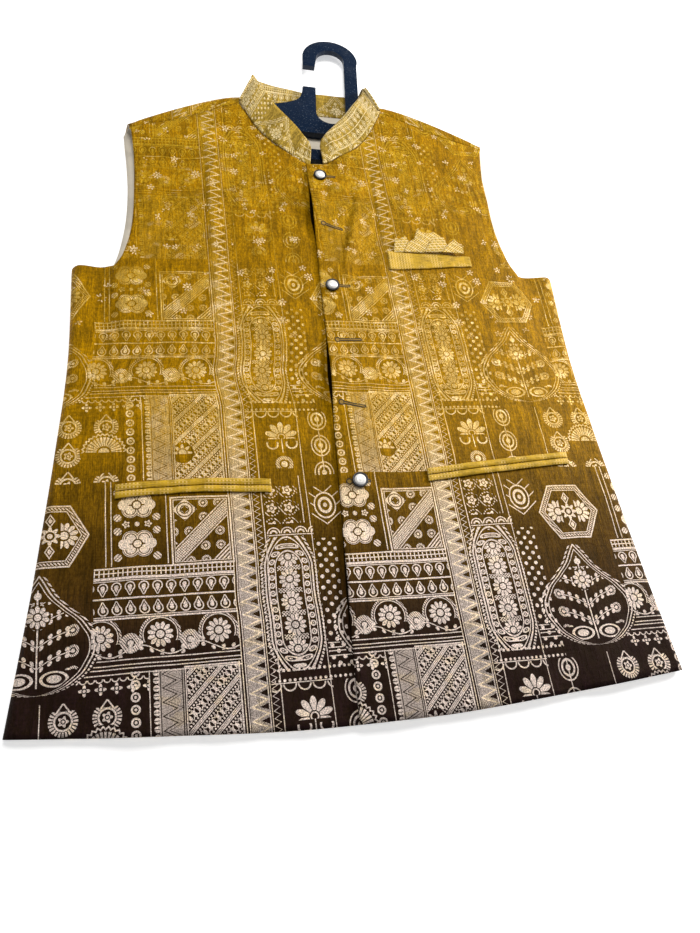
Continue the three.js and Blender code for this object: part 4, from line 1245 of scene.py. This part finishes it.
def tall_medallion(x, y):
    m = x.from_(228)
    tall = (y.from_(102.5) - 30).at_least(0)
    ogee = tall * tall * 0.012
    edge = m.hypot(tall - ogee)
    lines = edge.near(20.4, BOLD) | edge.near(11.8, 0.5) | edge.near(18.2, 0.3)
    beads = edge.near(23.4, 0.85) & (m * 0.6 + y).ticks(1.6, 0.95)
    slot = (edge - 15).hypot((y - 1.5).each(3.4))
    florets = slot.near(1.9, 0.6) | slot.below(0.6)
    part = (y - 102.5).each(9.8)
    bloom = outlined_flower(x - 228, part, 9.2, 12) & edge.below(10.6)
    lattice = ((x + y).ticks(1.3, 0.4) | (x - y).ticks(1.3, 0.4)) & part.from_(0).above(7.6)
    lattice = lattice & edge.below(10)
    return (lines | beads | florets | bloom | lattice) & in_box(x, y, 202, 255, 46, 160)


def dots_and_lotus(x, y):
    slant = (x + y).each(4.9).hypot((x - y).each(4.9))
    grid = slant.below(2.45) & x.below(-9) & y.within(46, 157)
    bead = x.each(2.1).hypot(y.from_(43) - 4).below(1.2) & (x.above(206) | x.below(-9))
    petal_far = (x - 235).hypot(y - 10)
    turn = (y - 10).bearing(x - 235) * 5
    wave = turn.sine().from_(0)
    lotus = petal_far.below(wave.times_plus(6.5, 9)) & wave.above(0.28) & petal_far.above(4.6)
    lotus = (lotus & y.above(8)) | (petal_far.near(3, 0.6) & y.above(8))
    foot = ((x.from_(235) - 9).hypot(y - 3).near(5, 0.8) & y.below(5)) | (x.near(235, 0.5) & y.within(-6, 8))
    tree_far = (x + 10).hypot(y.each(14) * 0.8)
    tree = tree_far.near(8.6, 0.5) | tree_far.near(5.4, 0.8) | tree_far.below(2.2)
    tree = (tree & y.below(36)) | (x.near(-10, 0.45) & y.below(36))
    low_far = x.from_(235).hypot(y + 18)
    low = ((low_far.near(6.5, 1.7) & (x * 1.4 + y).ticks(1.5, 1)) | low_far.below(3)) & y.above(-22)
    hung = (x - 2).each(6).hypot(y - 36).near(5, 0.6) & y.within(30, 36)
    rules = y.near(37, FINE) | hung
    low = low | (tree & x.within(-20, 0)) | (rules & x.above(203))
    return grid | bead | lotus | foot | low | x.near(251.5, 0.35)


def leafy_spray(x, y):
    """A spray of leaves beside the hexagon, over the dots."""
    far = (x + 14).hypot((y - 188) * 0.8)
    ring = far.near(9.6, 0.6) | far.near(5.4, 1.1) | far.below(1.8)
    leaf = (x + 14).from_(0)
    stem = (leaf * -0.8 + y).ticks(5, 0.6) & far.within(10, 17)
    return (ring | stem) & in_box(x, y, -27, 2, 166, 214)


MOTIFS = (
    hexagon_medallion, peony_column, ladder_box, drop_rows, vine_band, rosette_row, botehs,
    solid_panel, stripe_box, zigzag_columns, floret_block, tall_medallion, dots_and_lotus, leafy_spray,
)
WEAVE_SLANT = 0.045
WEAVE_SHIFT = 287
# Half of the step across and up, the shift of both and the petals of each set of sprigs
SPRIG_ROWS = ((17, 21, 0, 0, 5), (21.5, 26, 15, 19, 8))


def node_group(name, floats_in, colours_in, colours_out, floats_out):
    """An empty node group with its sockets: the tree, the sockets that come in and the output node."""
    tree = bpy.data.node_groups.new(name, "ShaderNodeTree")
    groups = (("INPUT", "Float", floats_in), ("INPUT", "Color", colours_in))
    groups += (("OUTPUT", "Color", colours_out), ("OUTPUT", "Float", floats_out))
    for way, kind, names in groups:
        for each in names:
            tree.interface.new_socket(each, in_out=way, socket_type=f"NodeSocket{kind}")
    return tree, tree.nodes.new("NodeGroupInput").outputs, tree.nodes.new("NodeGroupOutput")


def woven_pattern():
    """Node group with one repeat of the cloth's figures as a mask, over the cloth's own millimetres."""
    names = ("Figures", "Lasting")
    tree, given, result = node_group("woven_figures", ("Across", "Up"), (), (), names)
    across, up = (Field(tree, given[i]) for i in range(2))
    x = up.times_plus(WEAVE_SLANT, across + WEAVE_SHIFT).repeat(TILE_LEFT, TILE_LEFT + TILE_ACROSS)
    y = up.repeat(TILE_LOW, TILE_LOW + TILE_UP)
    figures, rim = drop_with_plant(x, y)
    low_lines = y.from_(60.5)
    rules = (low_lines.near(5.3, FINE) | low_lines.near(1.4, FINE)) & x.below(181) & rim.above(6)
    figures = figures | rules
    for motif in MOTIFS:
        figures = figures | motif(x, y)
    swing = y.to_and_fro(5.25).times_plus(-2.5, x)
    lasting = (swing.near(186.6, 1.35) & x.within(183.2, 200.8)) | x.near(202, 0.4) * 0.6
    plug(tree, result, {"Figures": figures, "Lasting": lasting | x.near(181.4, 0.4) * 0.6})
    return tree


def scattered_sprigs(across, up):
    """Small florets, alone on the plain ground of the chest, in staggered rows."""
    rows = []
    for half_across, half_up, shift_across, shift_up, petals in SPRIG_ROWS:
        x = (up * 0.21 + across + shift_across).each(half_across)
        y = (across * -0.13 + up + shift_up).each(half_up)
        rows.append(petals_round(x, y, 0.25 * half_across, petals, 0.32))
    return rows[0] | rows[1]


def noise_over(tree, across, up, detail, roughness=0.5):
    """Cloudy noise over two fields that are already scaled, from about 0.2 to 0.8."""
    joined = add_node(tree, "CombineXYZ", {0: across, 1: up})
    inputs = {"Vector": joined.outputs[0], "Scale": 1, "Detail": detail, "Roughness": roughness}
    noise = add_node(tree, "TexNoise", inputs, noise_dimensions="2D")
    return Field(tree, noise.outputs["Fac"])


def colour_mix(tree, share, low, high, kind="MIX"):
    """A colour between two, each a socket or a colour, or one colour multiplied by the other."""
    inputs = {"Factor": share, 6: low, 7: high}
    return add_node(tree, "Mix", inputs, data_type="RGBA", blend_type=kind).outputs[2]


def dimmed(tree, colour, share):
    """A colour multiplied by a field."""
    grey = add_node(tree, "CombineXYZ", {0: share, 1: share, 2: share})
    return colour_mix(tree, 1.0, colour, grey.outputs[0], "MULTIPLY")


def toned(tree, share, colour, dark):
    """A colour, and where share is 0 the dark share of itself."""
    return colour_mix(tree, share, tuple(value * dark for value in colour), colour)


def ramp(field, start, end):
    """0 before start, 1 after end, and smooth between, as a new field."""
    inputs = {"Value": field, "From Min": start, "From Max": end}
    node = add_node(field.tree, "MapRange", inputs, interpolation_type="SMOOTHSTEP")
    return Field(field.tree, node.outputs[0])


DYES = ("Ground Low", "Ground Middle", "Ground High", "Zari Low", "Zari Middle", "Zari High")
BRIGHT_THREAD = (0.82, 0.64, 0.40)
COLLAR_ZARI = (0.84, 0.69, 0.38)
SHADE_COLOUR = (0.012, 0.007, 0.002)
SILK_SPECULAR = 0.14
FLOOR_GLOW = 0.5


def figured_silk():
    """Node group that dyes the figured cloth: a dark hem that pales upwards, slubs, painted shade of its
    crush and crumples, and metal thread with painted shine in patches and painted glints.
    """
    numbers_in = ("Across", "Up", "Figures", "Dimming", "Lasting")
    numbers_out = ("Roughness", "Metallic", "Height")
    tree, given, result = node_group("figured_silk", numbers_in, DYES, ("Colour",), numbers_out)
    across, up, figures, dimming, lasting = (Field(tree, given[i]) for i in range(5))
    ground_low, ground_middle, ground_high = (given[i] for i in range(5, 8))
    zari_low, zari_middle, zari_high = (given[i] for i in range(8, 11))

    slub = noise_over(tree, across * 1.1, up * 0.045, 3, 0.65)
    cross_slub = noise_over(tree, across * 0.035, up * 0.55, 2, 0.6)
    crush_cloud = noise_over(tree, across * 0.045, up * 0.03, 4, 0.6)
    shine_patch_noise = noise_over(tree, across * 0.06, up * 0.075, 2, 0.55)
    thread_glint_noise = noise_over(tree, across * 0.85, up * 1.1, 2, 0.7)
    crumple = noise_over(tree, slub.times_plus(0.9, across * 0.17), up * 0.03, 5, 0.6)
    speck = noise_over(tree, across * 0.5, up * 0.28, 3, 0.75)

    dyed_up = slub.times_plus(50.0, up - 25)
    ground = colour_mix(tree, ramp(dyed_up, 55, 175), ground_low, ground_middle)
    ground = colour_mix(tree, ramp(dyed_up, 150, 290), ground, ground_high)
    # The ground's tone varies with its slubs, and its crush and crumples darken it with painted shade.
    shade = ramp(slub, 0.25, 0.75).times_plus(0.42, 0.6) * ramp(crush_cloud, 0.3, 0.7).times_plus(0.3, 0.82)
    shade = shade * cross_slub.times_plus(0.4, 0.84) * ramp(crumple, 0.3, 0.7).times_plus(0.5, 0.78)
    ground = dimmed(tree, ground, shade * ramp(speck, 0.32, 0.68).times_plus(0.55, 0.66))

    zari = colour_mix(tree, ramp(up, 110, 300), zari_low, zari_middle)
    zari = colour_mix(tree, ramp(up, 330, 540), zari, zari_high)
    # The sprigs show only within patches of the metal thread's painted shine.
    sprigs = scattered_sprigs(across, up) & ramp(up, 330, 420) & ramp(shine_patch_noise, 0.42, 0.5) & dimming
    standing = (lasting & ramp(speck, 0.2, 0.45)) | sprigs
    # Standing threads are brighter, and the metal thread also brightens where its painted shine is strongest,
    # a painted sheen.
    bright = standing * 0.8 | (ramp(shine_patch_noise, 0.58, 0.64) * 0.4)
    zari = colour_mix(tree, bright, zari, BRIGHT_THREAD)
    # Painted glints: the metal thread turns brighter and dimmer in fine specks.
    zari = dimmed(tree, zari, ramp(thread_glint_noise, 0.3, 0.7).times_plus(1.0, 0.48))

    # How much of the metal thread shows is painted shine, in patches that follow the crumples a little.
    painted_shine = ramp(shine_patch_noise * 0.8 + crumple * 0.2, 0.47, 0.6)
    high_up = ramp(up, 170, 360) & dimming
    shown = ((painted_shine.times_plus(0.45, 0.48) - 1) & high_up) + 1
    ragged_up = slub.times_plus(60.0, up - 30)
    plain = ramp(ragged_up, 425, 465) - ramp(ragged_up, 590, 650) * 0.6
    shown = shown & ((plain & dimming).times_plus(-0.5, 1.0))
    thread = ((figures & shown) | (standing & dimming) * 0.85) & ramp(slub, 0.1, 0.42).times_plus(0.3, 0.7)
    weave = (across * 9.0).sine() * (up * 9.0).sine()
    height = weave * 0.12 + slub * 0.9 + crush_cloud * 3.5 + cross_slub * 0.8 + crumple * 5.5
    roughness = thread.times_plus(-0.2, 0.56) + (slub - 0.5) * 0.2
    plug(tree, result, {"Colour": colour_mix(tree, thread, ground, zari), "Roughness": roughness})
    plug(tree, result, {"Metallic": thread * 0.35, "Height": height})
    return tree


def shared(name, make):
    return bpy.data.node_groups.get(name) or make()


def new_material(name):
    material = bpy.data.materials.new(name)
    material.use_nodes = True
    return material, material.node_tree, material.node_tree.nodes["Principled BSDF"]


def cloth_place(tree):
    """The piece's own place on the flat cloth, in millimetres."""
    own = add_node(tree, "UVMap", {}, uv_map="cloth")
    split = add_node(tree, "SeparateXYZ", {0: own.outputs["UV"]})
    return Field(tree, split.outputs[0]), Field(tree, split.outputs[1])


def bumped(tree, height, distance, strength):
    inputs = {"Distance": distance, "Strength": strength, "Height": height}
    return add_node(tree, "Bump", inputs).outputs["Normal"]


def silk_material(name, dyes, dimming, shift_across=0.0, shift_up=0.0, scale=1.0, dye_up=0.0):
    """Figured silk with its own dyes; shift and scale move the figures, and dye_up raises the fade."""
    material, tree, shader = new_material(name)
    across, up = cloth_place(tree)
    figures = add_node(tree, "Group", {}, node_tree=shared("woven_figures", woven_pattern))
    plug(tree, figures, {"Across": across * scale + shift_across, "Up": up * scale + shift_up})
    silk = add_node(tree, "Group", {}, node_tree=shared("figured_silk", figured_silk))
    plug(tree, silk, {"Across": across, "Up": up + dye_up, "Dimming": dimming, **dict(zip(DYES, dyes))})
    plug(tree, silk, {each: figures.outputs[each] for each in ("Figures", "Lasting")})
    plug(tree, shader, {each: silk.outputs[each] for each in ("Roughness", "Metallic")})
    plug(tree, shader, {
        "Base Color": silk.outputs["Colour"],
        "Normal": bumped(tree, silk.outputs["Height"], 0.0005, 0.8),
        "Specular IOR Level": SILK_SPECULAR,
        "Specular Tint": (1.0, 0.62, 0.08),
    })
    return material


def brocade_material(name, colours):
    """The body's silk, which darkens where the left front's raised edge keeps the light off."""
    dyes = [getattr(colours, dye.lower().replace(" ", "_")) for dye in DYES]
    material = silk_material(name, dyes, 1.0)
    tree = material.node_tree
    shader = tree.nodes["Principled BSDF"]
    shade = Field(tree, add_node(tree, "Attribute", {}, attribute_name="edge_shade").outputs["Fac"])
    dark = ramp(shade, SHADE_LINE - 0.5, SHADE_LINE + 0.3)
    silk = shader.inputs["Base Color"].links[0].from_socket
    plug(tree, shader, {
        "Base Color": colour_mix(tree, dark, silk, SHADE_COLOUR),
        "Specular IOR Level": dark.times_plus(-SILK_SPECULAR, SILK_SPECULAR),
    })
    return material


def collar_material(name, colours):
    dyes = [colours.collar_ground] * 3 + [COLLAR_ZARI] * 3
    return silk_material(name, dyes, 0.6, 40, 90, 1.3, 300)


def trim_material(name, colours):
    """The brighter gold of the welt and jets, with slubs along the strip and flecks of metal thread."""
    material, tree, shader = new_material(name)
    across, up = cloth_place(tree)
    slub = noise_over(tree, across * 0.12, up * 1.6, 3, 0.6)
    cloud = noise_over(tree, across * 0.1, up * 0.1, 2)
    colour = toned(tree, ramp(slub * 0.6 + cloud * 0.4, 0.36, 0.6), colours.trim, 0.5)
    dot = across.each(1.6).hypot(up.each(1.6)).below(0.85)
    fleck = dot | up.each(1.6).from_(0).near(1.5, 0.16)
    patch = ramp(noise_over(tree, across * 0.055, up * 0.05, 2), 0.45, 0.58)
    patch = patch | ramp(across, 98, 92) & ramp(across, 60, 72)
    plug(tree, shader, {
        "Base Color": colour_mix(tree, fleck & patch.times_plus(0.75, 0.12), colour, colours.zari_middle),
        "Roughness": slub.times_plus(0.25, 0.36),
        "Specular Tint": (1.0, 0.72, 0.25),
        "Normal": bumped(tree, slub + (across * 9.0).sine() * 0.1, 0.0004, 0.6),
    })
    return material


def square_material(name, colours):
    """The pocket square's paler gold, closely dotted with metal thread."""
    material, tree, shader = new_material(name)
    across, up = cloth_place(tree)
    slub = noise_over(tree, across * 0.5, up * 0.3, 3, 0.6)
    colour = toned(tree, ramp(slub, 0.38, 0.6), colours.trim, 0.55)
    lattice = (across + up).each(1.7).hypot((across - up).each(1.7))
    threads = lattice.below(1.0) | (across * 0.6 + up).ticks(4, 0.45)
    plug(tree, shader, {
        "Base Color": colour_mix(tree, threads * 0.8, colour, (0.88, 0.72, 0.42)),
        "Roughness": slub.times_plus(0.2, 0.38),
        "Specular Tint": (1.0, 0.78, 0.35),
        "Normal": bumped(tree, slub, 0.0005, 0.6),
    })
    return material


def object_place(tree, scale):
    place = add_node(tree, "TexCoord", {})
    split = add_node(tree, "SeparateXYZ", {0: place.outputs["Object"]})
    return Field(tree, split.outputs[0]) * scale, Field(tree, split.outputs[1]) * scale


def mottled_material(name, colour, dark, scale, roughness, bump, metallic=0.0):
    """A finish whose tone, gloss and surface vary a little over the piece."""
    material, tree, shader = new_material(name)
    cloud = noise_over(tree, *object_place(tree, scale), 3, 0.6)
    plug(tree, shader, {
        "Base Color": toned(tree, ramp(cloud, 0.3, 0.7), colour, dark),
        "Roughness": cloud.times_plus(0.14, roughness - 0.07),
        "Metallic": metallic,
        "Normal": bumped(tree, cloud, bump, 0.5),
    })
    return material


def lining_material(name, colours):
    """Smooth cream lining with a fine twill."""
    material, tree, shader = new_material(name)
    across, up = cloth_place(tree)
    cloud = noise_over(tree, across * 0.03, up * 0.05, 3)
    twill = ((across + up) * 5.2).sine()
    plug(tree, shader, {
        "Base Color": toned(tree, ramp(cloud, 0.3, 0.7), colours.lining, 0.86),
        "Roughness": cloud.times_plus(0.2, 0.5),
        "Sheen Weight": 0.1,
        "Normal": bumped(tree, twill * 0.08 + cloud * 4, 0.0005, 0.6),
    })
    return material


def rim_material(name, colours):
    return mottled_material(name, colours.rim, 0.6, 700, 0.32, 0.00005, 0.85)


def pearl_material(name, colours):
    material = mottled_material(name, colours.pearl, 0.78, 420, 0.2, 0.0001)
    material.node_tree.nodes["Principled BSDF"].inputs["Coat Weight"].default_value = 0.4
    return material


def plastic_material(name, colours):
    """Glossy moulded plastic, whose faces sink a little as they cool, with fine light specks painted in as
    glints.
    """
    material, tree, shader = new_material(name)
    across, up = object_place(tree, 1000)
    sink = noise_over(tree, across * 0.035, up * 0.035, 3, 0.5)
    glint_speck_noise = noise_over(tree, across * 0.5, up * 0.5, 4, 0.7)
    painted_glint_specks = ramp(glint_speck_noise, 0.64, 0.7)
    # Painted glints: fine light specks mixed into the plastic's colour.
    plug(tree, shader, {
        "Base Color": colour_mix(tree, painted_glint_specks * 0.25, colours.hanger, (0.42, 0.5, 0.56)),
        "Roughness": painted_glint_specks.times_plus(0.3, 0.06),
        "Specular IOR Level": 0.14,
        "Coat Weight": 0.12,
        "Normal": bumped(tree, sink * 3.0 + glint_speck_noise * 0.12, 0.001, 0.8),
    })
    return material


def thread_material(name):
    return mottled_material(name, (0.04, 0.033, 0.018), 0.5, 1500, 0.75, 0.0001)


def slit_material(name):
    return mottled_material(name, (0.36, 0.2, 0.012), 0.6, 900, 0.7, 0.0001)


def floor_material(name):
    """A white table that glows a little, as one lit from all round does."""
    material = mottled_material(name, (0.88, 0.88, 0.875), 0.985, 3, 0.8, 0.00001)
    shader = material.node_tree.nodes["Principled BSDF"]
    plug(material.node_tree, shader, {"Emission Color": (1, 1, 1), "Emission Strength": FLOOR_GLOW})
    return material


# The add-on: sizes and colours that a user may change, an operator for each kind of piece, a panel


def colour_property(name, description, value):
    return bpy.props.FloatVectorProperty(
        name=name, description=description, default=value, size=3, subtype="COLOR", min=0, max=1
    )


def count_property(name, description, value, least, most):
    return bpy.props.IntProperty(name=name, description=description, default=value, min=least, max=most)


class JacketSizes(bpy.types.PropertyGroup):
    """Sizes of the jacket's cloth pieces and fastenings."""

    front_columns: count_property("Front columns", "Steps of mesh between two stations of a front", 5, 2, 6)
    collar_steps: count_property("Collar steps", "Steps of mesh between two stations of the collar", 6, 3, 8)
    trim_wall: bpy.props.FloatProperty(
        name="Trim wall",
        description="Thickness of the welt and jets",
        default=TRIM_WALL / 1000,
        unit="LENGTH",
    )
    hole_count: count_property("Buttonholes", "How many worked buttonholes the left front has", 6, 0, 6)


class JacketColours(bpy.types.PropertyGroup):
    """Colours of the jacket's cloth, buttons and hanger."""

    ground_low: colour_property("Hem ground", "Ground at the hem", (0.0115, 0.0045, 0.0078))
    ground_middle: colour_property("Middle ground", "Ground below the pockets", (0.098, 0.046, 0.003))
    ground_high: colour_property("Chest ground", "Ground on the chest", (0.385, 0.19, 0.0002))
    zari_low: colour_property("Hem zari", "Metal thread at the hem", (0.68, 0.57, 0.50))
    zari_middle: colour_property("Middle zari", "Metal thread above the pockets", (0.74, 0.51, 0.16))
    zari_high: colour_property("Chest zari", "Metal thread on the chest", (0.70, 0.455, 0.03))
    collar_ground: colour_property("Collar ground", "Ground of the collar's brocade", (0.46, 0.30, 0.045))
    trim: colour_property("Trim", "Cloth of the welt and jets", (0.57, 0.34, 0.014))
    lining: colour_property("Lining", "Cloth inside the back", (0.80, 0.72, 0.58))
    rim: colour_property("Button rim", "Dark metal of the button rims", (0.045, 0.045, 0.048))
    pearl: colour_property("Button face", "Pearly faces of the buttons", (0.93, 0.91, 0.86))
    hanger: colour_property("Hanger", "Moulded plastic of the coat hanger", (0.002, 0.01, 0.029))


def chosen(context):
    return context.scene.jacket_sizes, context.scene.jacket_colours


class JACKET_OT_back(bpy.types.Operator):
    """Lay the back and the lining inside it"""

    bl_idname = "jacket.back"
    bl_label = "Back and Lining"

    def execute(self, context):
        colours = chosen(context)[1]
        brocade = brocade_material("back_brocade", colours)
        lining = lining_material("cream_lining", colours)
        grid, has, sides, top_row = back_grid()
        cloth_uv = pattern_of(grid, flip=-1)
        rise = np.linalg.norm(np.diff(grid[top_row - 1 :], axis=0), axis=-1)
        cloth_uv[top_row:, :, 1] = cloth_uv[top_row - 1, :, 1] + np.cumsum(rise, axis=0)
        cloth_uv[top_row:, :, 0] = cloth_uv[top_row - 1, :, 0]
        panel = cloth_shell("back_panel", grid, BACK_WALL, cloth_uv, [brocade, lining], has, True, sides)
        jacket_piece(panel, "brocade", "back")
        declare_cut(panel, cloth_uv)
        grid = lining_grid()
        cloth_uv = grid[..., :2].copy()
        inside = cloth_shell("back_lining_cloth", grid, LINING_WALL, cloth_uv, [lining])
        jacket_piece(inside, "lining", "back_lining")
        declare_cut(inside, cloth_uv)
        return {"FINISHED"}


class JACKET_OT_fronts(bpy.types.Operator):
    """Lay the right front and the left front over it"""

    bl_idname = "jacket.fronts"
    bl_label = "Fronts"

    def execute(self, context):
        sizes, colours = chosen(context)
        brocade = brocade_material("front_brocade", colours)
        lining = lining_material("front_facing", colours)
        for side, name, start in ((-1, "right", 0.0), (1, "left", LEFT_PATTERN_START)):
            grid, has, sides = front_grid(side, sizes.front_columns)
            cloth_uv = pattern_of(grid, start=start)
            light = np.zeros(grid.shape[:2])
            covered = light.copy()
            if side < 0:
                light = edge_shade(grid[..., 0], grid[..., 1])
            else:
                covered[:, 0] = 2 * SHADE_LINE
            cloth = cloth_shell(
                f"{name}_front_cloth", grid, FRONT_WALL, cloth_uv, [brocade, lining], has, side < 0, sides,
                (light, covered),
            )
            jacket_piece(cloth, "brocade", f"front_{name}")
            declare_cut(cloth, cloth_uv)
        return {"FINISHED"}


class JACKET_OT_collar(bpy.types.Operator):
    """Stand the collar on the neck edge"""

    bl_idname = "jacket.collar"
    bl_label = "Collar"

    def execute(self, context):
        sizes, colours = chosen(context)
        cloth = collar_material("collar_brocade", colours)
        inside = collar_material("collar_facing", colours)
        grid, run = collar_grid(sizes.collar_steps)
        height = np.linalg.norm(grid - grid[0], axis=-1)
        cloth_uv = np.stack(np.broadcast_arrays(run[None, :], height), axis=-1)
        band = cloth_shell("collar_band", grid, COLLAR_WALL, cloth_uv, [cloth, inside])
        jacket_piece(band, "collar_brocade", "collar")
        declare_cut(band, cloth_uv)
        return {"FINISHED"}


class JACKET_OT_pockets(bpy.types.Operator):
    """Set the chest welt, the folded square behind it and the jets of both pockets"""

    bl_idname = "jacket.pockets"
    bl_label = "Pockets"

    def execute(self, context):
        sizes, colours = chosen(context)
        plain = trim_material("plain_trim", colours)
        folded = square_material("square_cloth", colours)
        wall = sizes.trim_wall * 1000
        grid = on_front_grid(welt_place, 8, 60, wall)
        welt = cloth_shell("chest_welt_band", grid, wall, grid[..., :2], [plain])
        jacket_piece(welt, "trim_brocade", "chest_welt")
        declare_cut(welt, grid[..., :2])
        for jet in JETS:
            for place, way in (("upper", 1), ("lower", -1)):
                shift = way * (JET_WIDTH + JET_SLIT) / 2
                grid = on_front_grid(jet_place(jet, shift), 8, 110, wall, lift=crowned)
                name = f"{jet['name']}_{place}_jet"
                strip = cloth_shell(f"{name}_strip", grid, wall, grid[..., :2], [plain])
                jacket_piece(strip, "trim_brocade", name)
        for index, corners in enumerate(SQUARE_LAYERS):
            layer, cloth_uv = square_layer(index, corners, folded)
            jacket_piece(layer, "trim_brocade", *(["pocket_square"] if index == 0 else []))
            declare_cut(layer, cloth_uv)
        return {"FINISHED"}


class JACKET_OT_buttons(bpy.types.Operator):
    """Sew on the buttons and work the buttonholes"""

    bl_idname = "jacket.buttons"
    bl_label = "Buttons and Buttonholes"

    def execute(self, context):
        sizes, colours = chosen(context)
        rim_metal = rim_material("dark_rim_metal", colours)
        pearl = pearl_material("pearl_face", colours)
        thread = thread_material("buttonhole_thread")
        slit = slit_material("slit_edge")
        for index, place in enumerate(BUTTONS, 1):
            rim = button_rim(f"button_{index}_turned_rim", place, rim_metal)
            jacket_piece(rim, "button_metal", f"button_{index}_rim")
            face = button_face(f"button_{index}_domed_face", place, pearl)
            jacket_piece(face, "button_pearl", f"button_{index}_face")
        for index, place in enumerate(BUTTONHOLES[: sizes.hole_count], 1):
            hole = stitched_hole(f"buttonhole_{index}", place, thread, slit)
            jacket_piece(hole, "brocade")
        return {"FINISHED"}


class JACKET_OT_hanger(bpy.types.Operator):
    """Put the coat hanger inside the shoulders"""

    bl_idname = "jacket.hanger"
    bl_label = "Hanger"

    def execute(self, context):
        colours = chosen(context)[1]
        jacket_piece(hanger_piece(plastic_material("glossy_plastic", colours)), "hanger_plastic", "hanger")
        return {"FINISHED"}


class JACKET_OT_stage(bpy.types.Operator):
    """Add the pale floor, the soft lights and the camera"""

    bl_idname = "jacket.stage"
    bl_label = "Stage"

    def execute(self, context):
        bpy.ops.object.select_all(action="DESELECT")
        bpy.ops.mesh.primitive_plane_add(size=FLOOR_SIZE, location=(0, 0, -FLOOR_DROP))
        floor = context.object
        floor.name = "pale_floor"
        bpy.ops.object.transform_apply(location=True, rotation=True, scale=True)
        floor.data.materials.append(floor_material("pale_floor"))
        for name, place, aim, size, power, tint in LIGHTS:
            bpy.ops.object.light_add(type="AREA", location=place)
            lamp = context.object
            lamp.name = name
            lamp.data.shape = "RECTANGLE"
            lamp.data.size, lamp.data.size_y = size
            lamp.data.energy = power
            lamp.data.color = tint
            lamp.rotation_euler = (Vector(aim) - Vector(place)).to_track_quat("-Z", "Y").to_euler()
        world = bpy.data.worlds.new("soft_room")
        world.use_nodes = True
        sky = world.node_tree.nodes["Background"]
        plug(world.node_tree, sky, {"Color": ROOM_COLOUR, "Strength": ROOM_LIGHT})
        context.scene.world = world
        turn = [Matrix.Rotation(math.radians(angle), 4, axis) for angle, axis in CAMERA_TURNS]
        bpy.ops.object.camera_add(location=(0, 0, 0))
        camera = context.object
        camera.name = "photo_camera"
        camera.matrix_world = Matrix.Translation(Vector(CAMERA_PLACE)) @ turn[0] @ turn[1] @ turn[2]
        camera.data.lens = CAMERA_LENS
        camera.data.sensor_width = SENSOR_WIDTH
        camera.data.clip_start = NEAREST
        context.scene.camera = camera
        context.scene.view_settings.view_transform = "Standard"
        return {"FINISHED"}


class JACKET_PT_panel(bpy.types.Panel):
    """Lists the steps that build the jacket, with its sizes and colours."""

    bl_idname = "JACKET_PT_panel"
    bl_label = "Nehru Jacket"
    bl_space_type = "VIEW_3D"
    bl_region_type = "UI"
    bl_category = "Jacket"

    def draw(self, context):
        sizes, colours = chosen(context)
        for operator in STEPS:
            self.layout.operator(operator.bl_idname)
        for group in (sizes, colours):
            box = self.layout.box()
            for name in group.__annotations__:
                box.prop(group, name)


STEPS = (
    JACKET_OT_back,
    JACKET_OT_fronts,
    JACKET_OT_collar,
    JACKET_OT_pockets,
    JACKET_OT_buttons,
    JACKET_OT_hanger,
    JACKET_OT_stage,
)
CLASSES = (JacketSizes, JacketColours, *STEPS, JACKET_PT_panel)


def register():
    for each in CLASSES:
        bpy.utils.register_class(each)
    bpy.types.Scene.jacket_sizes = bpy.props.PointerProperty(type=JacketSizes)
    bpy.types.Scene.jacket_colours = bpy.props.PointerProperty(type=JacketColours)


def unregister():
    del bpy.types.Scene.jacket_colours
    del bpy.types.Scene.jacket_sizes
    for each in reversed(CLASSES):
        bpy.utils.unregister_class(each)


def main():
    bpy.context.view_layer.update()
    register()
    bpy.ops.jacket.back()
    bpy.ops.jacket.fronts()
    bpy.ops.jacket.collar()
    bpy.ops.jacket.pockets()
    bpy.ops.jacket.buttons()
    bpy.ops.jacket.hanger()
    bpy.ops.jacket.stage()
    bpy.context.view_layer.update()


if __name__ == "__main__":
    main()
